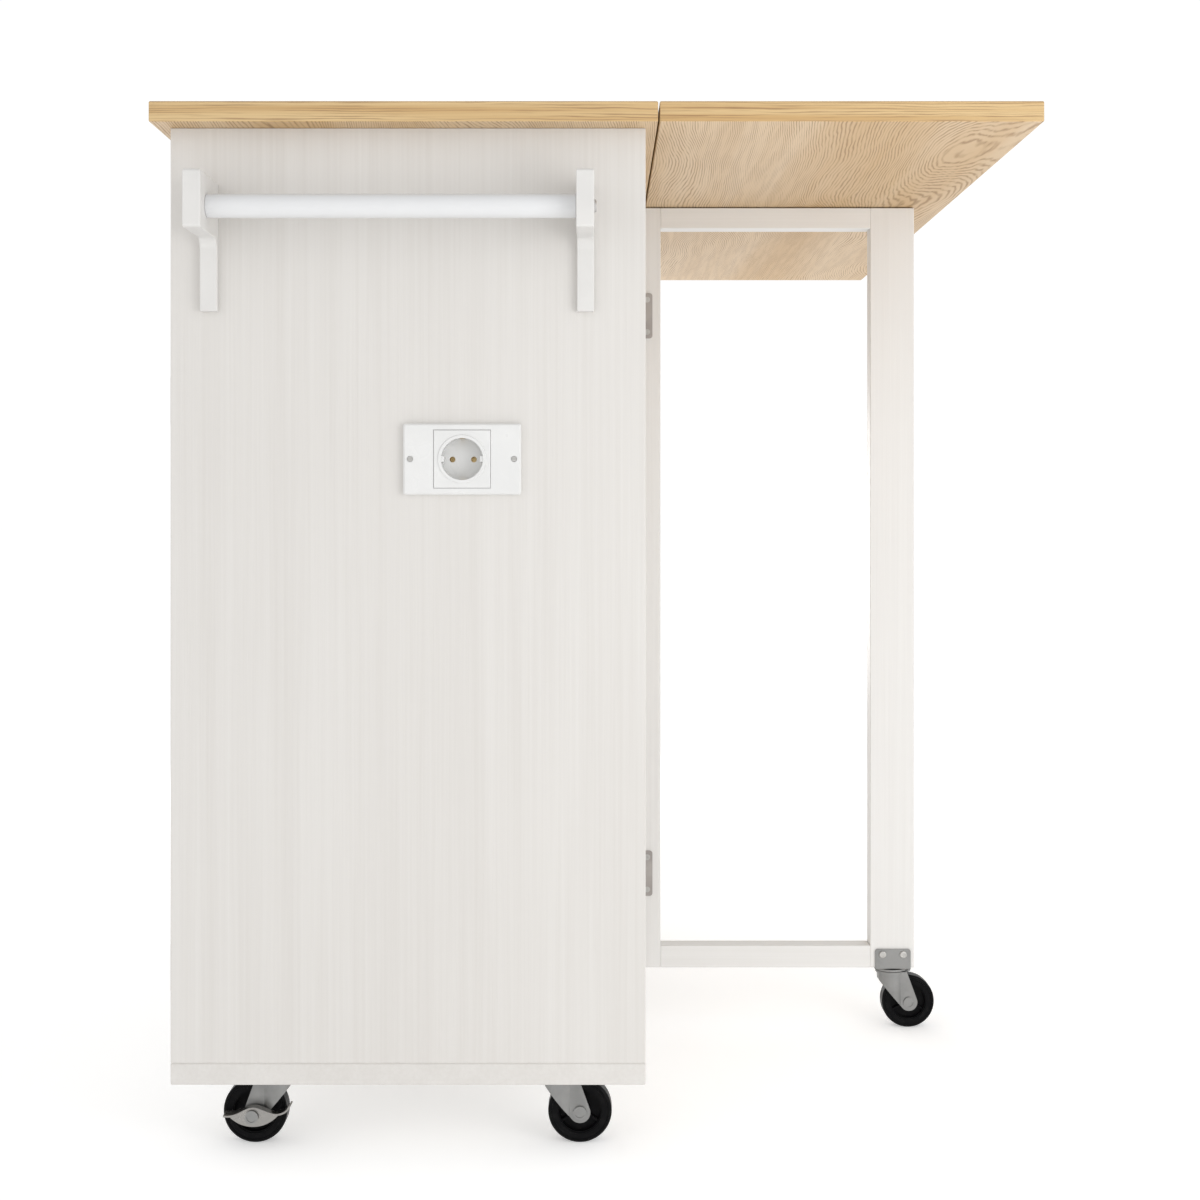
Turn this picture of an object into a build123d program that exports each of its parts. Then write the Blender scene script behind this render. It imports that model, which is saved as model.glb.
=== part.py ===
from build123d import *
import os

# Rolling kitchen island: cabinet on casters, oak worktop, drop leaf on a swinging gate.
# Frame: millimetres, +Z up, Z = 0 on the floor.
# X runs from the door side (-X) to the leaf side (+X).
# Y runs from the end with the towel rail (-Y) to the plain end (+Y).
# The origin is under the middle of the whole object's box.

os.makedirs("parts", exist_ok=True)

# ---------------------------------------------------------------- driving dimensions

TOP_HEIGHT = 930.0
TOP_LENGTH = 1118.0
TOP_WIDTH = 442.4
LEAF_WIDTH = 333.8
SEAM = 1.4
BOARD = 18.0
TOP_ROUND = 1.4

CABINET_DEPTH = 419.0
FRONT_OVERHANG = 13.2
END_OVERHANG = 26.4
BOTTOM_HEIGHT = 68.0
BOTTOM_BOARD = 19.0
BACK_BOARD = 15.0
BACK_RECESS = 23.0
EDGE_EASE = 0.8
GLUE = 0.1

BRACKET_REACH = 77.6
BRACKET_THICK = 15.3
BRACKET_ARM_HEIGHT = 49.0
BRACKET_HEIGHT = 112.6
BRACKET_TOP = 862.2
BRACKET_STEM = 7.0
RAIL_RADIUS = 10.25
RAIL_STANDOFF = 50.4
RAIL_HEIGHT = 834.9
BRACKET_INSET = 40.4
BRACKET_SPREAD = 331.2
SOCKET_INSET = 270.7

GATE_THICK = 25.0
GATE_TOP = 911.0
GATE_BOTTOM = 67.0
GATE_FRONT_FROM_EDGE = 456.4
STILE_INNER_CLEARANCE = 1.2
STILE_END = 76.0
POST_START = 309.0
POST_END = 357.6
GATE_TOP_RAIL = 23.0
GATE_BOTTOM_RAIL = 24.6

BAY_GAP = 2.0
SHELF_FRONT_GAP = 24.0
SHELF_GAP = 1.0
MID_RAIL_Z = (755.0, 773.0)
TOP_RAIL_THICK = 18.0
RAIL_DEPTH = 60.0
KNOB_PROUD = 22.0

CASTER_END_INSET = 87.0
CASTER_FRONT_INSET = 96.3
CASTER_SPREAD = 260.0
GATE_CASTER_INSET = 718.3
WHEEL_RADIUS = 29.0
WHEEL_HALF_WIDTH = 10.0
TRAIL = 17.6
AXLE_RADIUS = 4.0
RUNNING_GAP = 0.05

# ---------------------------------------------------------------- places worked out from them

KNOB_OVERHANG = KNOB_PROUD - FRONT_OVERHANG
TOTAL_WIDTH = KNOB_OVERHANG + TOP_WIDTH + SEAM + LEAF_WIDTH
TOTAL_LENGTH = BRACKET_REACH - END_OVERHANG + TOP_LENGTH

TOP_Z0 = TOP_HEIGHT - BOARD
TOP_X0 = KNOB_OVERHANG - TOTAL_WIDTH / 2
TOP_X1 = TOP_X0 + TOP_WIDTH
LEAF_X0 = TOP_X1 + SEAM
LEAF_X1 = LEAF_X0 + LEAF_WIDTH
TOP_Y1 = TOTAL_LENGTH / 2
TOP_Y0 = TOP_Y1 - TOP_LENGTH

CAB_X0 = TOP_X0 + FRONT_OVERHANG
CAB_X1 = CAB_X0 + CABINET_DEPTH
CAB_Y0 = TOP_Y0 + END_OVERHANG
CAB_Y1 = TOP_Y1 - END_OVERHANG
BACK_X1 = CAB_X1 - BACK_RECESS
BACK_X0 = BACK_X1 - BACK_BOARD
FLOOR_Z = BOTTOM_HEIGHT + BOTTOM_BOARD

PARTITION_Y = -100.0
NEAR_BAY = (CAB_Y0 + BOARD, PARTITION_Y - BOARD / 2)
FAR_BAY = (PARTITION_Y + BOARD / 2, CAB_Y1 - BOARD)
BAYS = (NEAR_BAY, FAR_BAY)

GATE_Y0 = TOP_Y0 + GATE_FRONT_FROM_EDGE
GATE_Y1 = GATE_Y0 + GATE_THICK


# ---------------------------------------------------------------- helpers

UPWARD = (Align.CENTER, Align.CENTER, Align.MIN)
DOWNWARD = (Align.CENTER, Align.CENTER, Align.MAX)
CROSS_SPAN = 1.1
CROSS_WIDTH = 0.24
KNUCKLE_GAP = 0.2
KNUCKLE_WEB = 0.6
HINGE_CORNER = 3.0
PIN_HEAD_INSET = 0.2
PIN_HEAD_THICK = 0.8
PAN_HEAD = 4.0
PAN_HEIGHT = 1.7
PAN_DOME = 1.2
PAN_SHANK = 1.8
PAN_LENGTH = 11.0
PAN_CROSS = (4.4, 1.1)
PAN_CROSS_DEPTH = 0.9


def block(low, high, mode=Mode.ADD):
    """Box between its lowest and its highest corner."""
    size = [b - a for a, b in zip(low, high)]
    centre = tuple((a + b) / 2 for a, b in zip(low, high))
    with Locations(centre):
        return Box(*size, mode=mode)


def bores(planes, radius, depth):
    """Blind round holes that start on each plane and run against its normal."""
    with Locations(*planes):
        Cylinder(radius, depth, align=DOWNWARD, mode=Mode.SUBTRACT)


def screw(head_radius, shank_radius, head_depth, length):
    """Countersunk cross-head screw: head face on Z = 0, shank towards -Z."""
    recess = head_radius * CROSS_SPAN
    with BuildPart() as body:
        with Locations((0, 0, -head_depth)):
            Cone(shank_radius, head_radius, head_depth, align=UPWARD)
        Cylinder(shank_radius, length, align=DOWNWARD)
        for turn in (0, 90):
            with Locations(Rotation(0, 0, turn)):
                Box(recess, head_radius * CROSS_WIDTH, head_depth, mode=Mode.SUBTRACT)
    return body.part


def pan_screw(shank_radius, length):
    """Domed cross-head screw: the underside of its head on Z = 0, shank towards -Z."""
    with BuildPart() as body:
        Cylinder(PAN_HEAD, PAN_HEIGHT, align=UPWARD)
        fillet(body.faces().sort_by(Axis.Z)[-1].edges(), PAN_DOME)
        Cylinder(shank_radius, length, align=DOWNWARD)
        with Locations((0, 0, PAN_HEIGHT)):
            for size in (PAN_CROSS, PAN_CROSS[::-1]):
                Box(*size, 2 * PAN_CROSS_DEPTH, mode=Mode.SUBTRACT)
    return body.part


def hinge_half(length, width, plate, offset, knuckle, pin, own, screws, screw_radius, head_radius):
    """Half of a butt hinge. Its pin runs along local Z, its plate along local +X.

    The plate's back lies on local Y = offset, where the wood begins. own says which of the
    five knuckles belong to this half, and screws are the (x, z) places of its holes.
    """
    step = length / (len(FIXED_KNUCKLES) + len(MOVING_KNUCKLES))
    reach = knuckle + KNUCKLE_WEB
    with BuildPart() as half:
        block((reach, offset - plate, -length / 2), (width, offset, length / 2))
        outer = half.edges().filter_by(Axis.Y).group_by(Axis.X)[-1]
        fillet(outer, HINGE_CORNER)
        for number in own:
            low = -length / 2 + number * step + KNUCKLE_GAP / 2
            high = low + step - KNUCKLE_GAP
            block((0, offset - plate, low), (reach, offset, high))
            with Locations((0, 0, low)):
                Cylinder(knuckle, high - low, align=UPWARD)
        Cylinder(pin, length + 1, mode=Mode.SUBTRACT)
        for x, z in screws:
            face = Plane(origin=(x, offset - plate, z), z_dir=(0, -1, 0))
            with Locations(face):
                CounterSinkHole(screw_radius + RUNNING_GAP, head_radius + RUNNING_GAP, plate * 2)
    return half.part


def hinge_pin(length, radius, knuckle):
    """Hinge pin along Z with a thin round head at each end, a little smaller than the knuckles."""
    middle = (length + PIN_HEAD_THICK) / 2
    with BuildPart() as body:
        Cylinder(radius, length + PIN_HEAD_THICK)
        with Locations((0, 0, middle), (0, 0, -middle)):
            Cylinder(knuckle - PIN_HEAD_INSET, PIN_HEAD_THICK)
    return body.part


def placed(shape, plane):
    """Copy of a locally built shape, standing on a plane."""
    return shape.moved(plane.location)


FIXED_KNUCKLES = (0, 2, 4)
MOVING_KNUCKLES = (1, 3)

# ---------------------------------------------------------------- hinges: places and sizes

# Gate hinges: vertical pins just off the recessed back, in line with the gate's front face.
GATE_HINGE_LENGTH = 50.0
GATE_HINGE_PLATE = 1.8
GATE_HINGE_OFFSET = 3.0
GATE_KNUCKLE = 2.6
GATE_PIN = 1.2
GATE_AXIS_X = BACK_X1 + GATE_HINGE_OFFSET
GATE_AXIS_Y = GATE_Y0 - GATE_HINGE_OFFSET
GATE_HINGE_Z = (172.1, 790.9)
GATE_HINGE_END_X = 66.9
GATE_HINGE_WIDTH = GATE_HINGE_END_X - GATE_AXIS_X
GATE_HINGE_SCREW_INSET = 5.7
GATE_HINGE_EDGE = GATE_HINGE_WIDTH - GATE_HINGE_SCREW_INSET
GATE_HINGE_SCREWS = ((GATE_HINGE_EDGE, 17.9), (GATE_HINGE_EDGE, -17.9), (15.0, 0.0))
STILE_START = GATE_AXIS_X + STILE_INNER_CLEARANCE

# Leaf hinges: pins along Y under the seam, all beyond the gate.
LEAF_HINGE_LENGTH = 60.0
LEAF_HINGE_WIDTH = 24.0
LEAF_HINGE_PLATE = 1.6
LEAF_HINGE_OFFSET = 2.6
LEAF_KNUCKLE = 2.2
LEAF_PIN = 1.0
LEAF_AXIS_X = TOP_X1 + SEAM / 2
LEAF_AXIS_Z = TOP_Z0 - LEAF_HINGE_OFFSET
LEAF_HINGE_Y = (6.0, 256.0, 506.0)
LEAF_HINGE_SCREWS = ((14.0, -20.0), (17.0, 0.0), (14.0, 20.0))

# Door hinges: surface plates on the front edges, pins in the gap beside each door.
DOOR_HINGE_LENGTH = 45.0
DOOR_HINGE_PLATE = 1.5
DOOR_HINGE_OFFSET = 2.2
DOOR_KNUCKLE = 1.9
DOOR_PIN = 0.9
DOOR_FIXED_WIDTH = 12.0
DOOR_MOVING_WIDTH = 30.0
DOOR_AXIS_X = CAB_X0 - DOOR_HINGE_OFFSET
DOOR_HINGE_Z = (170.0, 672.0)
DOOR_FIXED_SCREWS = ((7.6, -15.0), (7.6, 15.0))
DOOR_MOVING_SCREWS = ((22.0, -15.0), (22.0, 15.0), (12.0, 0.0))

DOOR_Z = (FLOOR_Z + BAY_GAP, MID_RAIL_Z[0] - BAY_GAP)
FAR_MIDDLE = sum(FAR_BAY) / 2
DOORS = {
    "near_door": {"span": (NEAR_BAY[0] + BAY_GAP, NEAR_BAY[1] - BAY_GAP), "hinge_side": -1},
    "far_left_door": {"span": (FAR_BAY[0] + BAY_GAP, FAR_MIDDLE - BAY_GAP / 2), "hinge_side": -1},
    "far_right_door": {"span": (FAR_MIDDLE + BAY_GAP / 2, FAR_BAY[1] - BAY_GAP), "hinge_side": 1},
}


def door_axis_y(door):
    """Y of a door's hinge pins: the middle of the gap on its hinge side."""
    edge = door["span"][0] if door["hinge_side"] < 0 else door["span"][1]
    return edge + door["hinge_side"] * BAY_GAP / 2


def door_plane(door, z, moving):
    """Plane of one door hinge half: local X away from the pin, local Y into the wood."""
    along = -door["hinge_side"] if moving else door["hinge_side"]
    return Plane(
        origin=(DOOR_AXIS_X, door_axis_y(door), z), x_dir=(0, along, 0), z_dir=(0, 0, -along)
    )


def gate_plane(z, moving):
    """Plane of one gate hinge half, on the gate's front face or on the back panel."""
    origin = (GATE_AXIS_X, GATE_AXIS_Y, z)
    if moving:
        return Plane(origin=origin, x_dir=(1, 0, 0), z_dir=(0, 0, 1))
    return Plane(origin=origin, x_dir=(0, -1, 0), z_dir=(0, 0, -1))


def leaf_plane(y, moving):
    """Plane of one leaf hinge half, under the leaf or under the worktop."""
    along = 1 if moving else -1
    return Plane(origin=(LEAF_AXIS_X, y, LEAF_AXIS_Z), x_dir=(along, 0, 0), z_dir=(0, -along, 0))


def screw_planes(half_planes, places, height):
    """Planes of the screws through hinge plates: origin at a local height, normal off the wood."""
    found = []
    for half in half_planes:
        for x, z in places:
            origin = half.from_local_coords(Vector(x, height, z))
            found.append(Plane(origin=origin, z_dir=-half.y_dir))
    return found


GATE_MOVING = [gate_plane(z, True) for z in GATE_HINGE_Z]
GATE_FIXED = [gate_plane(z, False) for z in GATE_HINGE_Z]
LEAF_MOVING = [leaf_plane(y, True) for y in LEAF_HINGE_Y]
LEAF_FIXED = [leaf_plane(y, False) for y in LEAF_HINGE_Y]
DOOR_FIXED = [door_plane(door, z, False) for door in DOORS.values() for z in DOOR_HINGE_Z]

SMALL_HEAD = 2.6
SMALL_SHANK = 1.2
SMALL_SCREW = screw(SMALL_HEAD, SMALL_SHANK, 1.4, 12.0)
WOOD_HEAD = 3.2
WOOD_SHANK = 1.5
WOOD_SCREW = screw(WOOD_HEAD, WOOD_SHANK, 1.7, 14.0)
PILOT_DEPTH = 14.0
PAN_SCREW = pan_screw(PAN_SHANK, PAN_LENGTH)

# ---------------------------------------------------------------- casters: places

CASTER_NEAR_Y = TOP_Y0 + CASTER_END_INSET
CASTER_FAR_Y = TOP_Y1 - CASTER_END_INSET
CASTER_FRONT_X = TOP_X0 + CASTER_FRONT_INSET
CASTER_BACK_X = CASTER_FRONT_X + CASTER_SPREAD
GATE_CASTER_X = TOP_X0 + GATE_CASTER_INSET
GATE_MID_Y = (GATE_Y0 + GATE_Y1) / 2
CASTERS = {
    "near_front": {"place": (CASTER_FRONT_X, CASTER_NEAR_Y), "trail": -1, "brake": True},
    "near_back": {"place": (CASTER_BACK_X, CASTER_NEAR_Y), "trail": 1, "brake": False},
    "far_front": {"place": (CASTER_FRONT_X, CASTER_FAR_Y), "trail": -1, "brake": True},
    "far_back": {"place": (CASTER_BACK_X, CASTER_FAR_Y), "trail": 1, "brake": False},
    "gate": {"place": (GATE_CASTER_X, GATE_MID_Y), "trail": 1, "brake": False},
}
CABINET_CASTERS = [caster for name, caster in CASTERS.items() if name != "gate"]
PLATE_HALF = 25.0
PLATE_THICK = 2.2
PLATE_CORNER = 5.0
PLATE_HOLE = 18.5
RACE_RADIUS = 17.0
RACE_BOTTOM = 63.0
KINGPIN_RADIUS = 4.0
CASTER_SCREW_HEAD = 3.8
CASTER_SCREW_SHANK = 2.0
CASTER_SCREW = screw(CASTER_SCREW_HEAD, CASTER_SCREW_SHANK, 2.0, 15.0)
CASTER_SCREW_PLANES = [
    Plane(
        origin=(caster["place"][0] + x, caster["place"][1] + y, BOTTOM_HEIGHT - PLATE_THICK),
        x_dir=(1, 0, 0),
        z_dir=(0, 0, -1),
    )
    for caster in CABINET_CASTERS
    for x in (-PLATE_HOLE, PLATE_HOLE)
    for y in (-PLATE_HOLE, PLATE_HOLE)
]

# ---------------------------------------------------------------- towel rail and socket: places

RAIL_Y = CAB_Y0 - RAIL_STANDOFF
BRACKET_LEFT_X = TOP_X0 + BRACKET_INSET
BRACKET_X = {"left": BRACKET_LEFT_X, "right": BRACKET_LEFT_X + BRACKET_SPREAD}
BRACKET_BOLT_RADIUS = 3.0
RAIL_BOLT_DEPTH = 22.0
BRACKET_SCREW_Z = (800.0, 848.0)
SCREW_SKIN = 1.0

SOCKET_X = TOP_X0 + SOCKET_INSET
SOCKET_Z = 619.8
SOCKET_PLATE = (103.7, 62.4)
SOCKET_PLATE_THICK = 6.0
SOCKET_INSERT = (50.0, 51.0)
SOCKET_CUTOUT = (60.0, 55.0)
SOCKET_SCREW = 45.7
SOCKET_SCREW_SHANK = 1.6
RECESS_RADIUS = 18.5
RECESS_RING = 21.3
RECESS_DEPTH = 16.0
RECESS_FLOOR = 3.0
PIN_SPACING = 9.5
CLIP_WIDTH = 4.4

# ---------------------------------------------------------------- shelves: places

SHELF_Z = (402.0, 420.0)
SHELF_X = (CAB_X0 + SHELF_FRONT_GAP, BACK_X0 - SHELF_GAP)
SHELF_PIN_RADIUS = 2.5
SHELF_PIN_LENGTH = 14.0
SHELF_PIN_DEPTH = 7.0
SHELF_PIN_INSET = 40.0
SHELF_PIN_X = (SHELF_X[0] + SHELF_PIN_INSET, SHELF_X[1] - SHELF_PIN_INSET)
SHELF_PIN_Z = SHELF_Z[0] - SHELF_PIN_RADIUS


def shelf_pin_planes(face_y, into):
    """Planes on a side face where shelf pins enter. into is the Y direction out of the board."""
    return [Plane(origin=(x, face_y, SHELF_PIN_Z), z_dir=(0, into, 0)) for x in SHELF_PIN_X]


# ---------------------------------------------------------------- worktop and leaf

with BuildPart() as worktop:
    block((TOP_X0, TOP_Y0, TOP_Z0), (TOP_X1, TOP_Y1, TOP_HEIGHT))
    fillet(worktop.edges(), TOP_ROUND)
    bores(screw_planes(LEAF_FIXED, LEAF_HINGE_SCREWS, LEAF_HINGE_OFFSET), SMALL_SHANK, PILOT_DEPTH)
worktop.part.label = "worktop"
export_step(worktop.part, "parts/worktop.step")

with BuildPart() as drop_leaf:
    block((LEAF_X0, TOP_Y0, TOP_Z0), (LEAF_X1, TOP_Y1, TOP_HEIGHT))
    fillet(drop_leaf.edges(), TOP_ROUND)
    bores(screw_planes(LEAF_MOVING, LEAF_HINGE_SCREWS, LEAF_HINGE_OFFSET), SMALL_SHANK, PILOT_DEPTH)
drop_leaf.part.label = "drop_leaf"
export_step(drop_leaf.part, "parts/drop_leaf.step")

# ---------------------------------------------------------------- cabinet boards

with BuildPart() as towel_end_panel:
    block((CAB_X0, CAB_Y0, FLOOR_Z), (CAB_X1, NEAR_BAY[0], TOP_Z0))
    chamfer(towel_end_panel.edges(), EDGE_EASE)
    with Locations((SOCKET_X, CAB_Y0 + BOARD / 2, SOCKET_Z)):
        Box(SOCKET_CUTOUT[0], BOARD, SOCKET_CUTOUT[1], mode=Mode.SUBTRACT)
    for side in BRACKET_X.values():
        middle = side + BRACKET_THICK / 2
        planes = [Plane(origin=(middle, CAB_Y0, z), z_dir=(0, -1, 0)) for z in BRACKET_SCREW_Z]
        bores(planes, CASTER_SCREW_SHANK, BOARD)
    for side in (-SOCKET_SCREW, SOCKET_SCREW):
        start = Plane(origin=(SOCKET_X + side, CAB_Y0, SOCKET_Z), z_dir=(0, -1, 0))
        bores([start], SOCKET_SCREW_SHANK, PILOT_DEPTH)
    bores(shelf_pin_planes(NEAR_BAY[0], 1), SHELF_PIN_RADIUS, SHELF_PIN_DEPTH)
    fixed = screw_planes(DOOR_FIXED[:2], DOOR_FIXED_SCREWS, DOOR_HINGE_OFFSET)
    bores(fixed, SMALL_SHANK, PILOT_DEPTH)
towel_end_panel.part.label = "towel_end_panel"
export_step(towel_end_panel.part, "parts/towel_end_panel.step")

with BuildPart() as far_end_panel:
    block((CAB_X0, FAR_BAY[1], FLOOR_Z), (CAB_X1, CAB_Y1, TOP_Z0))
    chamfer(far_end_panel.edges(), EDGE_EASE)
    bores(shelf_pin_planes(FAR_BAY[1], -1), SHELF_PIN_RADIUS, SHELF_PIN_DEPTH)
    fixed = screw_planes(DOOR_FIXED[4:], DOOR_FIXED_SCREWS, DOOR_HINGE_OFFSET)
    bores(fixed, SMALL_SHANK, PILOT_DEPTH)
far_end_panel.part.label = "far_end_panel"
export_step(far_end_panel.part, "parts/far_end_panel.step")

with BuildPart() as bottom_panel:
    block((CAB_X0, CAB_Y0, BOTTOM_HEIGHT), (CAB_X1, CAB_Y1, FLOOR_Z))
    notch_low = (BACK_X1, NEAR_BAY[0], BOTTOM_HEIGHT)
    block(notch_low, (CAB_X1, FAR_BAY[1], FLOOR_Z), Mode.SUBTRACT)
    chamfer(bottom_panel.edges(), EDGE_EASE)
    pilots = [plane.offset(-PLATE_THICK) for plane in CASTER_SCREW_PLANES]
    bores(pilots, CASTER_SCREW_SHANK, PILOT_DEPTH)
bottom_panel.part.label = "bottom_panel"
export_step(bottom_panel.part, "parts/bottom_panel.step")

with BuildPart() as back_panel:
    block((BACK_X0, NEAR_BAY[0], FLOOR_Z), (BACK_X1, FAR_BAY[1], TOP_Z0))
    fixed = screw_planes(GATE_FIXED, GATE_HINGE_SCREWS, GATE_HINGE_OFFSET)
    bores(fixed, WOOD_SHANK, PILOT_DEPTH)
back_panel.part.label = "back_panel"
export_step(back_panel.part, "parts/back_panel.step")

with BuildPart() as partition:
    block((CAB_X0, NEAR_BAY[1], FLOOR_Z), (BACK_X0, FAR_BAY[0], TOP_Z0))
    chamfer(partition.edges().group_by(Axis.X)[0], EDGE_EASE)
    bores(shelf_pin_planes(NEAR_BAY[1], -1), SHELF_PIN_RADIUS, SHELF_PIN_DEPTH)
    bores(shelf_pin_planes(FAR_BAY[0], 1), SHELF_PIN_RADIUS, SHELF_PIN_DEPTH)
    fixed = screw_planes(DOOR_FIXED[2:4], DOOR_FIXED_SCREWS, DOOR_HINGE_OFFSET)
    bores(fixed, SMALL_SHANK, PILOT_DEPTH)
partition.part.label = "partition"
export_step(partition.part, "parts/partition.step")

with BuildPart() as front_rails:
    for bay in BAYS:
        for low, high in (MID_RAIL_Z, (TOP_Z0 - TOP_RAIL_THICK, TOP_Z0)):
            block((CAB_X0, bay[0], low), (CAB_X0 + RAIL_DEPTH, bay[1], high))
front_rails.part.label = "front_rails"
export_step(front_rails.part, "parts/front_rails.step")

for name, bay in (("near_shelf", NEAR_BAY), ("far_shelf", FAR_BAY)):
    with BuildPart() as shelf:
        low = (SHELF_X[0], bay[0] + SHELF_GAP, SHELF_Z[0])
        block(low, (SHELF_X[1], bay[1] - SHELF_GAP, SHELF_Z[1]))
        chamfer(shelf.edges().group_by(Axis.X)[0], EDGE_EASE)
    shelf.part.label = name
    export_step(shelf.part, f"parts/{name}.step")

with BuildPart() as shelf_pins:
    for bay in BAYS:
        for face_y, into in ((bay[0], 1), (bay[1], -1)):
            with Locations(*shelf_pin_planes(face_y, into)):
                with Locations((0, 0, SHELF_PIN_LENGTH / 2 - SHELF_PIN_DEPTH)):
                    Cylinder(SHELF_PIN_RADIUS, SHELF_PIN_LENGTH)
shelf_pins.part.label = "shelf_pins"
export_step(shelf_pins.part, "parts/shelf_pins.step")

# ---------------------------------------------------------------- drawer runners, door catches

RUNNER_HEIGHT = 12.0
RUNNER_WIDTH = 20.0
RUNNER_SETBACK = 3.0
RUNNER_X0 = CAB_X0 + BOARD + RUNNER_SETBACK
RUNNER_TOP = MID_RAIL_Z[1] + RUNNER_HEIGHT

with BuildPart() as drawer_runners:
    for bay in BAYS:
        for y0 in (bay[0], bay[1] - RUNNER_WIDTH):
            block((RUNNER_X0, y0, MID_RAIL_Z[1]), (BACK_X0, y0 + RUNNER_WIDTH, RUNNER_TOP))
drawer_runners.part.label = "drawer_runners"
export_step(drawer_runners.part, "parts/drawer_runners.step")

CATCH = (20.0, 14.0, 12.0)
CATCH_INSET = 24.0
CATCH_EASE = 1.5

with BuildPart() as door_catches:
    for door in DOORS.values():
        free_edge = door["span"][1] if door["hinge_side"] < 0 else door["span"][0]
        y = free_edge + door["hinge_side"] * CATCH_INSET
        with Locations((CAB_X0 + BOARD, y, MID_RAIL_Z[0])):
            Box(*CATCH, align=(Align.MIN, Align.CENTER, Align.MAX))
    chamfer(door_catches.edges().filter_by(Axis.X), CATCH_EASE)
door_catches.part.label = "door_catches"
export_step(door_catches.part, "parts/door_catches.step")

# ---------------------------------------------------------------- towel rail

BRACKET_INNER_ROUND = 10.0
BRACKET_OUTER_ROUND = 2.5
RAIL_EASE = 0.6

for side, x0 in BRACKET_X.items():
    with BuildPart() as bracket:
        with BuildSketch(Plane.YZ.offset(x0)):
            with BuildLine():
                Polyline(
                    (CAB_Y0, BRACKET_TOP),
                    (CAB_Y0 - BRACKET_REACH, BRACKET_TOP),
                    (CAB_Y0 - BRACKET_REACH, BRACKET_TOP - BRACKET_ARM_HEIGHT),
                    (CAB_Y0 - BRACKET_STEM, BRACKET_TOP - BRACKET_ARM_HEIGHT),
                    (CAB_Y0 - BRACKET_STEM, BRACKET_TOP - BRACKET_HEIGHT),
                    (CAB_Y0, BRACKET_TOP - BRACKET_HEIGHT),
                    close=True,
                )
            make_face()
        extrude(amount=BRACKET_THICK)
        inner_corner = bracket.edges().filter_by(Axis.X).filter_by_position(
            Axis.Y, CAB_Y0 - BRACKET_STEM - 1, CAB_Y0 - BRACKET_STEM + 1
        ).sort_by(Axis.Z)[-1]
        fillet(inner_corner, BRACKET_INNER_ROUND)
        outer_corners = bracket.edges().filter_by(Axis.X).group_by(Axis.Y)[0]
        fillet(outer_corners, BRACKET_OUTER_ROUND)
        chamfer(bracket.edges().group_by(Axis.X)[0], EDGE_EASE)
        chamfer(bracket.edges().group_by(Axis.X)[-1], EDGE_EASE)
        middle = x0 + BRACKET_THICK / 2
        with Locations(Location((middle, RAIL_Y, RAIL_HEIGHT), (0, 90, 0))):
            Cylinder(BRACKET_BOLT_RADIUS, BRACKET_THICK, mode=Mode.SUBTRACT)
        planes = [Plane(origin=(middle, CAB_Y0, z), z_dir=(0, 1, 0)) for z in BRACKET_SCREW_Z]
        bores(planes, CASTER_SCREW_SHANK, BRACKET_STEM - SCREW_SKIN)
    bracket.part.label = f"towel_bracket_{side}"
    export_step(bracket.part, f"parts/towel_bracket_{side}.step")

RAIL_X0 = BRACKET_X["left"] + BRACKET_THICK
RAIL_X1 = BRACKET_X["right"]

with BuildPart() as towel_rail:
    with Locations(Location(((RAIL_X0 + RAIL_X1) / 2, RAIL_Y, RAIL_HEIGHT), (0, 90, 0))):
        Cylinder(RAIL_RADIUS, RAIL_X1 - RAIL_X0)
    chamfer(towel_rail.edges(), RAIL_EASE)
    ends = [
        Plane(origin=(RAIL_X0, RAIL_Y, RAIL_HEIGHT), z_dir=(-1, 0, 0)),
        Plane(origin=(RAIL_X1, RAIL_Y, RAIL_HEIGHT), z_dir=(1, 0, 0)),
    ]
    bores(ends, BRACKET_BOLT_RADIUS, RAIL_BOLT_DEPTH)
towel_rail.part.label = "towel_rail"
export_step(towel_rail.part, "parts/towel_rail.step")

BOLT_HEAD_RADIUS = 5.5
BOLT_HEAD = 1.9
BOLT_EASE = 0.7
BOLT_SOCKET_RADIUS = 2.4
BOLT_SOCKET_DEPTH = 1.2

with BuildPart() as towel_rail_bolts:
    with Locations(*[plane.offset(BRACKET_THICK) for plane in ends]):
        shank = RAIL_BOLT_DEPTH + BRACKET_THICK - SCREW_SKIN
        Cylinder(BRACKET_BOLT_RADIUS, shank, align=DOWNWARD)
        Cylinder(BOLT_HEAD_RADIUS, BOLT_HEAD, align=UPWARD)
    rims = towel_rail_bolts.edges().filter_by(GeomType.CIRCLE)
    chamfer([rims.group_by(Axis.X)[0][0], rims.group_by(Axis.X)[-1][0]], BOLT_EASE)
    for plane in ends:
        with BuildSketch(plane.offset(BRACKET_THICK + BOLT_HEAD)):
            RegularPolygon(BOLT_SOCKET_RADIUS, 6)
        extrude(amount=-BOLT_SOCKET_DEPTH, mode=Mode.SUBTRACT)
towel_rail_bolts.part.label = "towel_rail_bolts"
export_step(towel_rail_bolts.part, "parts/towel_rail_bolts.step")

# ---------------------------------------------------------------- socket

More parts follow.
